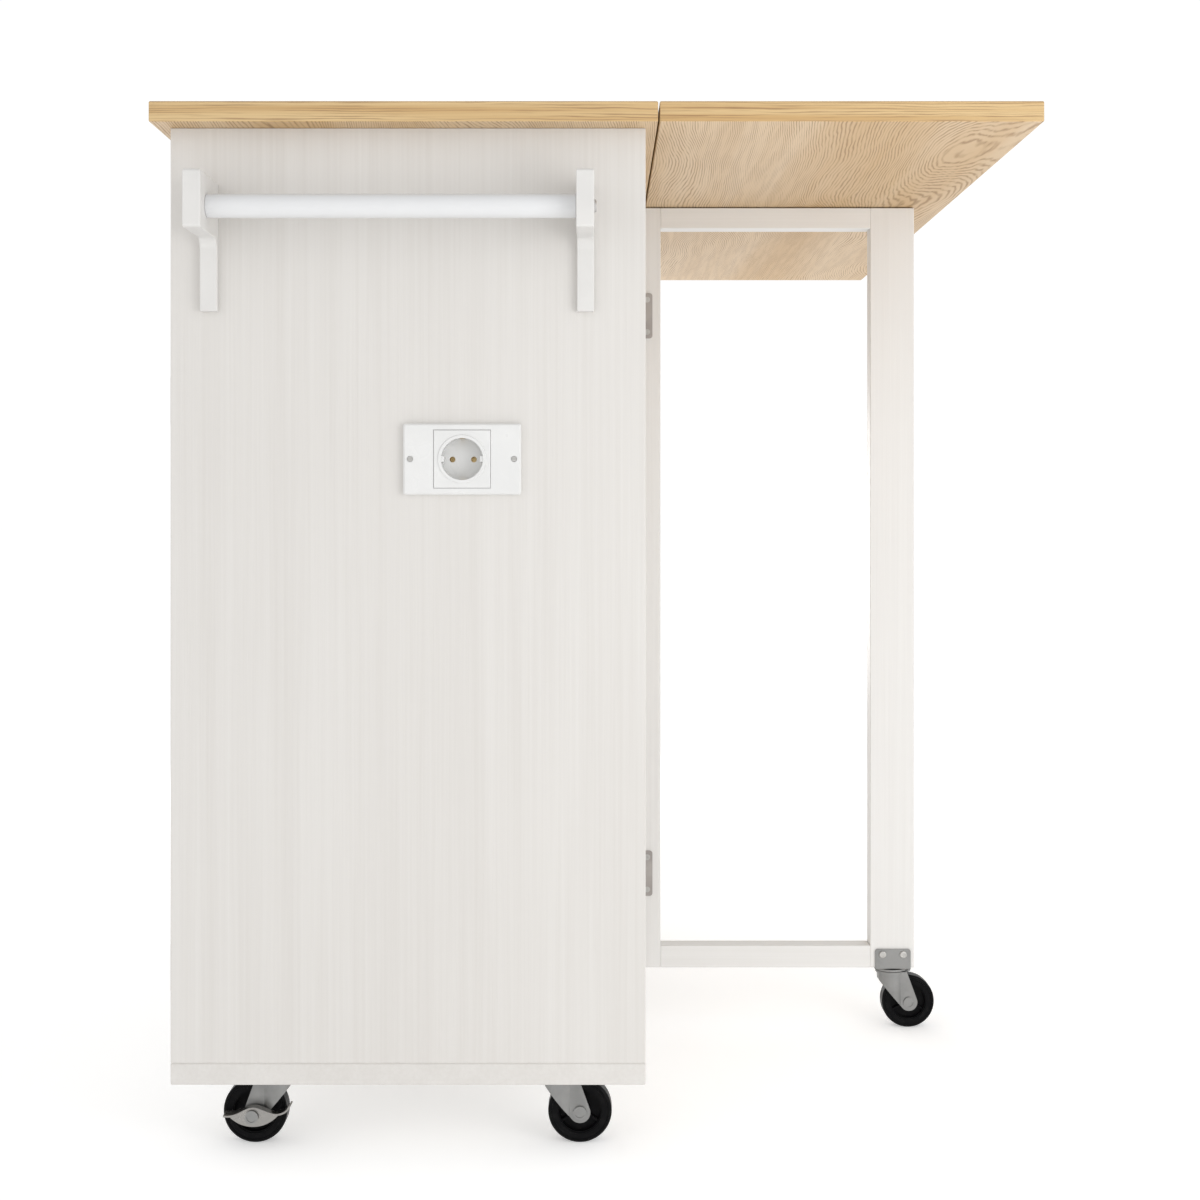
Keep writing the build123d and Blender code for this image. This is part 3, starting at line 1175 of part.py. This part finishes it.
FIXED_HINGE_SCREWS = (
    (WOOD_SCREW, GATE_FIXED, GATE_HINGE_SCREWS, GATE_HINGE_OFFSET - GATE_HINGE_PLATE),
    (SMALL_SCREW, LEAF_FIXED, LEAF_HINGE_SCREWS, LEAF_HINGE_OFFSET - LEAF_HINGE_PLATE),
    (SMALL_SCREW, DOOR_FIXED, DOOR_FIXED_SCREWS, DOOR_HINGE_OFFSET - DOOR_HINGE_PLATE),
)
BRACKET_SCREW = pan_screw(CASTER_SCREW_SHANK, BOARD + BRACKET_STEM - 2 * SCREW_SKIN)

with BuildPart() as cabinet_screws:
    for shape, halves, places, height in FIXED_HINGE_SCREWS:
        for plane in screw_planes(halves, places, height):
            add(placed(shape, plane))
    for plane in CASTER_SCREW_PLANES:
        add(placed(CASTER_SCREW, plane))
    for x0 in BRACKET_X.values():
        for z in BRACKET_SCREW_Z:
            inside = Plane(origin=(x0 + BRACKET_THICK / 2, NEAR_BAY[0], z), z_dir=(0, 1, 0))
            add(placed(BRACKET_SCREW, inside))
    with Locations(SOCKET_FRONT):
        for x, z in INSERT_SCREW_PLACES:
            with Locations((x, z, -SINK_DEPTH)):
                Cylinder(SOCKET_SCREW_RADIUS, SOCKET_SCREW_HEAD, align=UPWARD)
                Cylinder(SOCKET_SCREW_SHANK, SOCKET_SCREW_LENGTH, align=DOWNWARD)
            with Locations((x, z, SOCKET_SCREW_HEAD - SINK_DEPTH)):
                Box(*SOCKET_SCREW_SLOT, mode=Mode.SUBTRACT)
cabinet_screws.part.label = "cabinet_screws"
export_step(cabinet_screws.part, "parts/cabinet_screws.step")

with BuildPart() as leaf_screws:
    leaf_height = LEAF_HINGE_OFFSET - LEAF_HINGE_PLATE
    for plane in screw_planes(LEAF_MOVING, LEAF_HINGE_SCREWS, leaf_height):
        add(placed(SMALL_SCREW, plane))
leaf_screws.part.label = "leaf_screws"
export_step(leaf_screws.part, "parts/leaf_screws.step")
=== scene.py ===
"""Rolling kitchen island with a drop leaf on a swinging gate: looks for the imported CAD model.

Lengths are metres. X runs from the door side to the leaf side, Y away from the camera, Z up.
"""
import math

import bpy
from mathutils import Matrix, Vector

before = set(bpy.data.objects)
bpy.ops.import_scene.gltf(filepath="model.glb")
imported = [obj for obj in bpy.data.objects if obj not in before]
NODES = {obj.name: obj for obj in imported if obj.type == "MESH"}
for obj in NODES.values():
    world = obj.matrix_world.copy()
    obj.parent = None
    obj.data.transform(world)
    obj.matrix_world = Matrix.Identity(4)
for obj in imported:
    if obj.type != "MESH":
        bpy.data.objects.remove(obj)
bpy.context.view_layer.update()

# ---------------------------------------------------------------- camera

CAMERA_PLACE = (0.0029, -2.1610, 0.5737)
CAMERA_LENS = 56.283
CAMERA_SHIFT = (0.0044, -0.07375)
SENSOR_WIDTH = 36.0
NEAREST_SEEN = 0.05


def make_camera():
    """Level camera that looks along +Y, with its frame shifted down."""
    data = bpy.data.cameras.new("camera")
    data.sensor_width = SENSOR_WIDTH
    data.lens = CAMERA_LENS
    data.shift_x, data.shift_y = CAMERA_SHIFT
    data.clip_start = NEAREST_SEEN
    camera = bpy.data.objects.new("camera", data)
    camera.location = CAMERA_PLACE
    camera.rotation_euler = (math.radians(90), 0, 0)
    bpy.context.scene.collection.objects.link(camera)
    bpy.context.scene.camera = camera


make_camera()

# ---------------------------------------------------------------- shader helpers

AXES = {"X": 0, "Y": 1, "Z": 2}

# A Mix node has a set of sockets for each data type. These are their places among its inputs and outputs.
NUMBER_A, NUMBER_B, NUMBER_OUT = 2, 3, 0
COLOR_A, COLOR_B, COLOR_OUT = 6, 7, 2

# How much of an axis a normal has where its surface starts to count as facing it, and where it fully does.
FACING_EDGE = (0.65, 0.75)

# Nearly all of a noise's values lie in this range.
NOISE_RANGE = (0.3, 0.7)

NO_OFFSET = (0, 0, 0)


def along(axis, across, lengthwise):
    """Cells per metre for a grain that runs along one axis."""
    return tuple(lengthwise if AXES[axis] == i else across for i in range(3))


def even(cells):
    """The same number of cells per metre along every axis."""
    return (cells, cells, cells)


def darker(color, share):
    """A colour with a share of its brightness taken away."""
    return tuple(channel * (1.0 - share) for channel in color)


class Recipe:
    """One procedural material: short calls that add nodes and return their output sockets."""

    def __init__(self, name, color, roughness, metallic=0.0):
        self.material = bpy.data.materials.new(name)
        self.material.use_nodes = True
        self.tree = self.material.node_tree
        self.shader = self.tree.nodes["Principled BSDF"]
        self.shader.inputs["Base Color"].default_value = (*color, 1.0)
        self.shader.inputs["Roughness"].default_value = roughness
        self.shader.inputs["Metallic"].default_value = metallic
        self.where = self.tree.nodes.new("ShaderNodeTexCoord")

    def node(self, kind, **settings):
        made = self.tree.nodes.new(kind)
        for key, value in settings.items():
            setattr(made, key, value)
        return made

    def feed(self, socket, value):
        """Links a socket, or sets a plain number or colour."""
        if isinstance(value, bpy.types.NodeSocket):
            self.tree.links.new(value, socket)
        else:
            socket.default_value = value

    def part(self, vector, axis):
        """One component of the object coordinates or of the normal."""
        split = self.node("ShaderNodeSeparateXYZ")
        self.feed(split.inputs[0], self.where.outputs[vector])
        return split.outputs[AXES[axis]]

    def noise(self, cells, offset=NO_OFFSET, detail=2.0, rough=0.5):
        """Noise over the object coordinates, with so many cells per metre along X, Y and Z."""
        mapping = self.node("ShaderNodeMapping")
        self.feed(mapping.inputs["Vector"], self.where.outputs["Object"])
        mapping.inputs["Scale"].default_value = cells
        mapping.inputs["Location"].default_value = offset
        made = self.node("ShaderNodeTexNoise")
        self.feed(made.inputs["Vector"], mapping.outputs["Vector"])
        made.inputs["Scale"].default_value = 1.0
        made.inputs["Detail"].default_value = detail
        made.inputs["Roughness"].default_value = rough
        return made.outputs["Fac"]

    def compute(self, operation, a, b=0.0):
        made = self.node("ShaderNodeMath", operation=operation)
        self.feed(made.inputs[0], a)
        self.feed(made.inputs[1], b)
        return made.outputs[0]

    def total(self, first, *others):
        """Sum of two or more values."""
        for other in others:
            first = self.compute("ADD", first, other)
        return first

    def span(self, value, between, to=(0.0, 1.0), smooth=True):
        """Maps one range of a value to another, held at both ends."""
        made = self.node("ShaderNodeMapRange", clamp=True)
        made.interpolation_type = "SMOOTHSTEP" if smooth else "LINEAR"
        for name, number in zip(("Value", "From Min", "From Max", "To Min", "To Max"),
                                (value, *between, *to)):
            self.feed(made.inputs[name], number)
        return made.outputs["Result"]

    def mix(self, amount, a, b):
        """Blends two colours."""
        made = self.node("ShaderNodeMix", data_type="RGBA")
        self.feed(made.inputs[0], amount)
        for place, value in ((COLOR_A, a), (COLOR_B, b)):
            if isinstance(value, tuple):
                value = (*value, 1.0)
            self.feed(made.inputs[place], value)
        return made.outputs[COLOR_OUT]

    def blend_number(self, amount, a, b):
        """Blends two numbers."""
        made = self.node("ShaderNodeMix", data_type="FLOAT")
        self.feed(made.inputs[0], amount)
        self.feed(made.inputs[NUMBER_A], a)
        self.feed(made.inputs[NUMBER_B], b)
        return made.outputs[NUMBER_OUT]

    def bump(self, height, distance, strength):
        made = self.node("ShaderNodeBump")
        made.inputs["Strength"].default_value = strength
        made.inputs["Distance"].default_value = distance
        self.feed(made.inputs["Height"], height)
        return made.outputs["Normal"]

    def facing(self, axis):
        """1 where the surface faces along an object axis, either way, else 0."""
        return self.span(self.compute("ABSOLUTE", self.part("Normal", axis)), FACING_EDGE)

    def finish(self, color, roughness=None, normal=None):
        for name, value in (("Base Color", color), ("Roughness", roughness), ("Normal", normal)):
            if value is not None:
                self.feed(self.shader.inputs[name], value)
        return self.material


# ---------------------------------------------------------------- oak

OAK_EDGE_LIGHT = (0.640, 0.460, 0.232)
OAK_EDGE_GOLD = (0.530, 0.340, 0.145)
OAK_FACE_LIGHT = (0.650, 0.480, 0.292)
OAK_FACE_GOLD = (0.560, 0.362, 0.160)
OAK_LINE = (0.240, 0.130, 0.060)
OAK_ROUGHNESS = 0.45
OAK_ROUGHNESS_RANGE = (0.44, 0.62)
OAK_RELIEF = 0.0002
LINE_DEPTH = 0.65

# Dark lines per metre of a board, and how many lines each noise shifts them by.
FACE_LINES = 390.0
ARCH_LINES = 90.0
WAVE_LINES = 4.0
KINK_LINES = 1.0
EDGE_LINES = 400.0
EDGE_WAVES = 3.0

# From a line's middle to where it has faded out, as a share of the distance between lines.
FACE_LINE_WIDTH = 0.34
EDGE_LINE_WIDTH = 0.36

# Cells per metre along X, Y and Z of the noises on a face, whose grain runs along Y.
ARCH_CELLS = (5.0, 1.5, 1.5)
WAVE_CELLS = (24.0, 5.0, 5.0)
KINK_CELLS = (140.0, 22.0, 22.0)
STRAND_CELLS = (170.0, 9.0, 9.0)
PATCH_CELLS = (10.0, 0.7, 0.7)
STREAK_CELLS = (60.0, 1.5, 1.5)

# Cells per metre of the noises on an edge: across its grain, then along it.
EDGE_WAVE_CELLS = (90.0, 4.0)
EDGE_KINK_CELLS = (500.0, 26.0)
EDGE_STRAND_CELLS = (260.0, 12.0)
EDGE_BAND_CELLS = (120.0, 2.0)


def weighted(r, *pairs):
    """Sum of values, each times its own weight."""
    return r.total(*[r.compute("MULTIPLY", value, weight) for value, weight in pairs])


def hairlines(r, count, width):
    """1 in the middle of each step of count, fading to 0 at a width to either side."""
    phase = r.compute("ABSOLUTE", r.compute("SUBTRACT", r.compute("FRACT", count), 0.5))
    return r.span(phase, between=(0.0, width), to=(1.0, 0.0))


def oak_face(r, offset):
    """Grain along Y that swings round slow arches: returns its golden patches and its dark lines."""
    arches = r.noise(ARCH_CELLS, offset, detail=1.0, rough=0.4)
    waves = r.noise(WAVE_CELLS, offset, detail=1.0)
    kinks = r.noise(KINK_CELLS, offset, detail=1.0)
    count = weighted(r, (r.part("Object", "X"), FACE_LINES), (arches, ARCH_LINES),
                     (waves, WAVE_LINES), (kinks, KINK_LINES))
    strands = r.noise(STRAND_CELLS, offset, rough=0.6)
    lines = r.compute("MULTIPLY", hairlines(r, count, FACE_LINE_WIDTH),
                      r.span(strands, between=(0.34, 0.62), to=(0.30, 1.0)))
    patches = r.noise(PATCH_CELLS, offset, detail=1.0)
    streaks = r.noise(STREAK_CELLS, offset, detail=1.0)
    gold = r.total(r.span(patches, between=(0.44, 0.62), to=(0.0, 0.75)),
                   r.span(streaks, between=(0.35, 0.65), to=(0.0, 0.25)))
    return gold, lines


def oak_edge(r, axis, offset):
    """Straight grain along one axis: returns its golden bands and its dark lines."""
    waves = r.noise(along(axis, *EDGE_WAVE_CELLS), offset, detail=1.0)
    kinks = r.noise(along(axis, *EDGE_KINK_CELLS), offset, detail=1.0)
    count = weighted(r, (r.part("Object", "Z"), EDGE_LINES), (waves, EDGE_WAVES), (kinks, KINK_LINES))
    strands = r.noise(along(axis, *EDGE_STRAND_CELLS), offset)
    lines = r.compute("MULTIPLY", hairlines(r, count, EDGE_LINE_WIDTH),
                      r.span(strands, between=(0.34, 0.64), to=(0.10, 1.0)))
    bands = r.noise(along(axis, *EDGE_BAND_CELLS), offset, detail=1.0)
    return r.span(bands, between=(0.34, 0.66)), lines


def oak(name, offset):
    """Oak board: arched grain along Y on the faces, straight grain along every edge."""
    r = Recipe(name, OAK_FACE_LIGHT, OAK_ROUGHNESS)
    face_gold, face_lines = oak_face(r, offset)
    end_gold, end_lines = oak_edge(r, "X", offset)
    side_gold, side_lines = oak_edge(r, "Y", offset)
    is_face = r.facing("Z")
    is_end = r.facing("Y")
    edge_gold = r.blend_number(is_end, side_gold, end_gold)
    color = r.mix(is_face, r.mix(edge_gold, OAK_EDGE_LIGHT, OAK_EDGE_GOLD),
                  r.mix(face_gold, OAK_FACE_LIGHT, OAK_FACE_GOLD))
    lines = r.blend_number(is_face, r.blend_number(is_end, side_lines, end_lines), face_lines)
    color = r.mix(r.compute("MULTIPLY", lines, LINE_DEPTH), color, OAK_LINE)
    roughness = r.span(lines, between=(0.0, 1.0), to=OAK_ROUGHNESS_RANGE, smooth=False)
    normal = r.bump(r.compute("SUBTRACT", 1.0, lines), OAK_RELIEF, strength=0.4)
    return r.finish(color, roughness, normal)


# ---------------------------------------------------------------- white boards and paint

# The cabinet's boards and the gate's boards are one white board in two copies. The gate's copy is painted
# lighter (painted light) and the cabinet's copy darker (painted shade), to stand in for how differently the
# two are lit.
WHITE_BOARD = (0.682, 0.664, 0.638)
WHITE_BOARD_LOW = (0.622, 0.599, 0.569)
GATE_BOARD_PAINTED_LIGHT = (0.772, 0.762, 0.744)
GATE_BOARD_PAINTED_LIGHT_LOW = (0.716, 0.702, 0.682)
BOARD_ROUGHNESS = 0.42
BOARD_ROUGHNESS_RANGE = (0.37, 0.50)
BOARD_RELIEF = 0.00012

# Cells per metre of a white board's noises: across its grain, then along it. Its clouds are even.
BOARD_LINE_CELLS = (330.0, 3.2)
BOARD_BAND_CELLS = (60.0, 1.4)
BOARD_TICK_CELLS = (800.0, 30.0)
BOARD_CLOUD_CELLS = 3.0

# Paint and plastic: orange peel, and the patches that handling leaves, which metals have too.
PEEL_CELLS = 700.0
SMEAR_CELLS = 28.0
SMEAR_RANGE = (0.35, 0.7)


def white_board(name, axis, light=WHITE_BOARD, low=WHITE_BOARD_LOW, offset=NO_OFFSET):
    """Warm white board with an embossed wood grain that runs along one axis."""
    r = Recipe(name, light, BOARD_ROUGHNESS)
    lines = r.noise(along(axis, *BOARD_LINE_CELLS), offset, detail=3.0, rough=0.6)
    bands = r.noise(along(axis, *BOARD_BAND_CELLS), offset)
    clouds = r.noise(even(BOARD_CLOUD_CELLS), offset)
    ticks = r.noise(along(axis, *BOARD_TICK_CELLS), offset, detail=1.0)
    tone = r.total(r.span(lines, NOISE_RANGE, to=(0.0, 0.5), smooth=False),
                   r.span(bands, NOISE_RANGE, to=(0.0, 0.3)),
                   r.span(clouds, NOISE_RANGE, to=(0.0, 0.2)))
    marks = r.span(ticks, between=(0.62, 0.76))
    height = r.compute("SUBTRACT", lines, r.compute("MULTIPLY", marks, 0.5))
    rough = r.span(lines, NOISE_RANGE, to=BOARD_ROUGHNESS_RANGE, smooth=False)
    return r.finish(r.mix(tone, low, light), rough, r.bump(height, BOARD_RELIEF, strength=0.5))


def paint(name, color, roughness, marks=0.045, orange_peel=0.00003):
    """Plain sprayed paint or moulded plastic: slight orange peel and handling marks."""
    r = Recipe(name, color, roughness)
    peel = r.noise(even(PEEL_CELLS))
    smear = r.noise(even(SMEAR_CELLS), detail=3.0)
    shade = r.mix(r.span(smear, SMEAR_RANGE), color, darker(color, marks))
    rough = r.span(smear, NOISE_RANGE, to=(roughness - marks, roughness + 2.0 * marks))
    return r.finish(shade, rough, r.bump(peel, orange_peel, strength=0.6))


# ---------------------------------------------------------------- metals, rubber, plywood

# Cells per metre of a metal's scratches, across and along a brushed one's, and of its duller patches.
BRUSHED_CELLS = (1500.0, 60.0)
SCRATCH_CELLS = 900.0
DULL_CELLS = 45.0
DULLNESS = 0.14
FINE_RELIEF = 0.00002

WHEEL_BLACK = (0.006, 0.006, 0.007)
WHEEL_CLEAN = (0.004, 0.004, 0.0045)
WHEEL_DUST = (0.016, 0.0155, 0.015)
WHEEL_ROUGHNESS = 0.34
WHEEL_ROUGHNESS_RANGE = (0.28, 0.46)
WHEEL_SHEEN = 0.07
WHEEL_TEXTURE_CELLS = 1200.0
WHEEL_DUST_CELLS = 130.0

PLYWOOD = (0.66, 0.52, 0.34)
PLYWOOD_DARK = (0.56, 0.41, 0.25)
PLYWOOD_LIGHT = (0.73, 0.60, 0.42)
PLYWOOD_ROUGHNESS = 0.55
PLYWOOD_ROUGHNESS_RANGE = (0.48, 0.62)
PLYWOOD_RELIEF = 0.0001
PLYWOOD_GRAIN_CELLS = (330.0, 9.0)
PLYWOOD_BROAD_CELLS = (40.0, 2.5)


def metal(name, color, roughness, brushed=None):
    """Plated metal, or metal brushed along one axis, with fine scratches and duller patches."""
    r = Recipe(name, color, roughness, metallic=1.0)
    scratches = along(brushed, *BRUSHED_CELLS) if brushed else even(SCRATCH_CELLS)
    grain = r.noise(scratches, detail=3.0, rough=0.6)
    patch = r.noise(even(DULL_CELLS), detail=3.0)
    shade = r.mix(r.span(patch, SMEAR_RANGE), color, darker(color, DULLNESS))
    rough = r.total(r.span(patch, NOISE_RANGE, to=(roughness - 0.06, roughness + 0.08)),
                    r.span(grain, NOISE_RANGE, to=(-0.03, 0.05), smooth=False))
    return r.finish(shade, rough, r.bump(grain, FINE_RELIEF, strength=0.5))


def black_wheel(name):
    """Black moulded wheel: a little dusty, with a fine moulding texture and a weak sheen."""
    r = Recipe(name, WHEEL_BLACK, WHEEL_ROUGHNESS)
    r.shader.inputs["Specular IOR Level"].default_value = WHEEL_SHEEN
    fine = r.noise(even(WHEEL_TEXTURE_CELLS))
    dust = r.noise(even(WHEEL_DUST_CELLS), detail=4.0, rough=0.6)
    shade = r.mix(r.span(dust, between=(0.50, 0.78), to=(0.0, 0.5)), WHEEL_CLEAN, WHEEL_DUST)
    rough = r.span(dust, SMEAR_RANGE, to=WHEEL_ROUGHNESS_RANGE)
    return r.finish(shade, rough, r.bump(fine, FINE_RELIEF, strength=0.5))


def plywood(name):
    """Pale plywood, streaked along X by its grain."""
    r = Recipe(name, PLYWOOD, PLYWOOD_ROUGHNESS)
    grain = r.noise(along("X", *PLYWOOD_GRAIN_CELLS), detail=3.0, rough=0.6)
    broad = r.noise(along("X", *PLYWOOD_BROAD_CELLS))
    tone = r.total(r.span(grain, NOISE_RANGE, to=(0.0, 0.6), smooth=False),
                   r.span(broad, NOISE_RANGE, to=(0.0, 0.4)))
    shade = r.mix(tone, PLYWOOD_DARK, PLYWOOD_LIGHT)
    rough = r.span(grain, NOISE_RANGE, to=PLYWOOD_ROUGHNESS_RANGE)
    return r.finish(shade, rough, r.bump(grain, PLYWOOD_RELIEF, strength=0.5))


# ---------------------------------------------------------------- dressing the CAD nodes

CASTER_NAMES = ("near_front", "near_back", "far_front", "far_back", "gate")

BRACKET_PAINT = (0.685, 0.675, 0.657)
RAIL_PAINT = (0.70, 0.705, 0.712)
SOCKET_WHITE = (0.73, 0.73, 0.722)
BOX_GREY = (0.30, 0.30, 0.30)
CATCH_WHITE = (0.78, 0.78, 0.77)
BRASS = (0.72, 0.56, 0.30)
BOLT_STEEL = (0.62, 0.61, 0.60)
HINGE_STEEL = (0.42, 0.39, 0.37)
SCREW_STEEL = (0.55, 0.54, 0.52)
CASTER_ZINC = (0.29, 0.29, 0.285)
LEVER_ZINC = (0.34, 0.33, 0.315)
KNOB_SATIN = (0.52, 0.50, 0.47)

# Where in the noise these boards' grain is cut from, so that it differs from the others'.
LEAF_OFFSET = (3.7, 1.3, 0.0)
DOOR_OFFSET = (1.7, 0.9, 0.3)
UPRIGHT_OFFSET = (5.0, 2.0, 0.0)


def dress(material, *names):
    """Gives CAD nodes a material in every slot."""
    for name in names:
        for slot in NODES[name].material_slots:
            slot.material = material


def dress_boards():
    """Oak, the cabinet's and the gate's white boards, and the drawers' plywood."""
    dress(oak("oak_top", NO_OFFSET), "worktop")
    dress(oak("oak_leaf", LEAF_OFFSET), "drop_leaf")
    dress(white_board("white_vertical", "Z"), "towel_end_panel", "far_end_panel", "back_panel", "partition")
    dress(white_board("white_door", "Z", offset=DOOR_OFFSET), "near_door", "far_left_door", "far_right_door")
    dress(white_board("white_lengthwise", "Y"), "bottom_panel", "front_rails", "near_shelf", "far_shelf",
          "near_drawer_front", "far_drawer_front")
    # The gate's stile, post and rails take the lighter copy of the white board: painted light.
    dress(white_board("gate_upright_painted_light", "Z", GATE_BOARD_PAINTED_LIGHT, GATE_BOARD_PAINTED_LIGHT_LOW, UPRIGHT_OFFSET),
          "gate_stile", "gate_post")
    dress(white_board("gate_level_painted_light", "X", GATE_BOARD_PAINTED_LIGHT, GATE_BOARD_PAINTED_LIGHT_LOW), "gate_top_rail", "gate_bottom_rail")
    dress(plywood("drawer_ply"), "near_drawer_box", "far_drawer_box", "drawer_runners")


def dress_paint():
    """The towel rail with its brackets, and the plastic parts."""
    dress(paint("bracket_paint", BRACKET_PAINT, 0.40), "towel_bracket_left", "towel_bracket_right")
    dress(paint("rail_paint", RAIL_PAINT, 0.22, marks=0.01, orange_peel=0.00001), "towel_rail")
    dress(paint("socket_plastic", SOCKET_WHITE, 0.28), "socket_plate", "socket_insert")
    dress(paint("box_plastic", BOX_GREY, 0.50), "socket_back_box")
    dress(paint("catch_plastic", CATCH_WHITE, 0.45), "door_catches")


def dress_metal():
    """Contacts, bolts, hinges, screws, knobs and casters, with the casters' black wheels."""
    dress(metal("brass", BRASS, 0.32), "socket_contacts")
    dress(metal("bolt_steel", BOLT_STEEL, 0.30), "towel_rail_bolts")
    dress(metal("hinge_steel", HINGE_STEEL, 0.42, brushed="Z"),
          "gate_hinge_plates", "gate_hinge_fixed_plates", "leaf_hinge_plates", "leaf_hinge_fixed_plates",
          "door_hinge_fixed_plates", "hinge_pins")
    dress(metal("screw_steel", SCREW_STEEL, 0.34),
          "cabinet_screws", "leaf_screws", "gate_screws", "shelf_pins")
    dress(metal("knob_satin", KNOB_SATIN, 0.30), "near_door_hardware", "far_left_door_hardware",
          "far_right_door_hardware", "near_drawer_knobs", "far_drawer_knobs")
    dress(metal("caster_zinc", CASTER_ZINC, 0.36), "caster_plates", "gate_caster_bracket",
          *["caster_fork_" + name for name in CASTER_NAMES])
    dress(metal("lever_zinc", LEVER_ZINC, 0.32), "brake_lever_near_front", "brake_lever_far_front")
    dress(black_wheel("wheel_black"), *["caster_wheel_" + name for name in CASTER_NAMES])


dress_boards()
dress_paint()
dress_metal()

# ---------------------------------------------------------------- floor and light

WHITE = (1.0, 1.0, 1.0, 1.0)

FLOOR_HALF = 60.0
FLOOR_PALE = (0.86, 0.86, 0.86)
FLOOR_PALER = (0.88, 0.88, 0.88)
FLOOR_ROUGHNESS = 0.9
FLOOR_GLOW = 0.34
FLOOR_CELLS = 1.2

# How far up a direction points, from 0 level to 1 straight up, where the walls start to dim and where
# the ceiling is dimmest.
WALL_TOP = 0.40
CEILING_START = 0.95
HORIZON_GLOW = 1.03
ZENITH_GLOW = 0.55

# Each lamp's name, its place, the point it is aimed at, its side and its power in watts.
LAMPS = (
    ("key", (1.05, -1.5, 0.55), (0.05, 0.0, 0.5), 0.8, 6.5),
    ("fill", (-2.6, -3.2, 1.4), (0.0, 0.0, 0.5), 2.4, 6.0),
    ("behind", (-0.35, 2.2, 0.50), (0.2, 0.0, 0.5), 0.6, 8.0),
)


def make_floor():
    """Large pale floor, lit a little from within so that it meets the walls in white."""
    mesh = bpy.data.meshes.new("floor")
    corners = [(x * FLOOR_HALF, y * FLOOR_HALF, 0) for x, y in ((-1, -1), (1, -1), (1, 1), (-1, 1))]
    mesh.from_pydata(corners, [], [(0, 1, 2, 3)])
    floor = bpy.data.objects.new("floor", mesh)
    bpy.context.scene.collection.objects.link(floor)
    r = Recipe("floor_paint", FLOOR_PALE, FLOOR_ROUGHNESS)
    r.shader.inputs["Emission Color"].default_value = WHITE
    r.shader.inputs["Emission Strength"].default_value = FLOOR_GLOW
    mesh.materials.append(r.finish(r.mix(r.noise(even(FLOOR_CELLS)), FLOOR_PALE, FLOOR_PALER)))


def make_world():
    """White studio walls all round, under a dimmer ceiling."""
    world = bpy.data.worlds.new("surroundings")
    world.use_nodes = True
    tree = world.node_tree
    where = tree.nodes.new("ShaderNodeTexCoord")
    split = tree.nodes.new("ShaderNodeSeparateXYZ")
    glow = tree.nodes.new("ShaderNodeMapRange")
    glow.inputs["From Min"].default_value = WALL_TOP
    glow.inputs["From Max"].default_value = CEILING_START
    glow.inputs["To Min"].default_value = HORIZON_GLOW
    glow.inputs["To Max"].default_value = ZENITH_GLOW
    background = tree.nodes["Background"]
    background.inputs["Color"].default_value = WHITE
    tree.links.new(where.outputs["Generated"], split.inputs[0])
    tree.links.new(split.outputs["Z"], glow.inputs["Value"])
    tree.links.new(glow.outputs["Result"], background.inputs["Strength"])
    bpy.context.scene.world = world
    bpy.context.scene.view_settings.view_transform = "Standard"


def area_light(name, place, target, size, power):
    """Square soft light that points at a target and does not show in the picture."""
    data = bpy.data.lights.new(name, "AREA")
    data.size = size
    data.energy = power
    lamp = bpy.data.objects.new(name, data)
    lamp.location = place
    lamp.visible_camera = False
    lamp.rotation_euler = (Vector(target) - Vector(place)).to_track_quat("-Z", "Y").to_euler()
    bpy.context.scene.collection.objects.link(lamp)


make_floor()
make_world()
for lamp_settings in LAMPS:
    area_light(*lamp_settings)
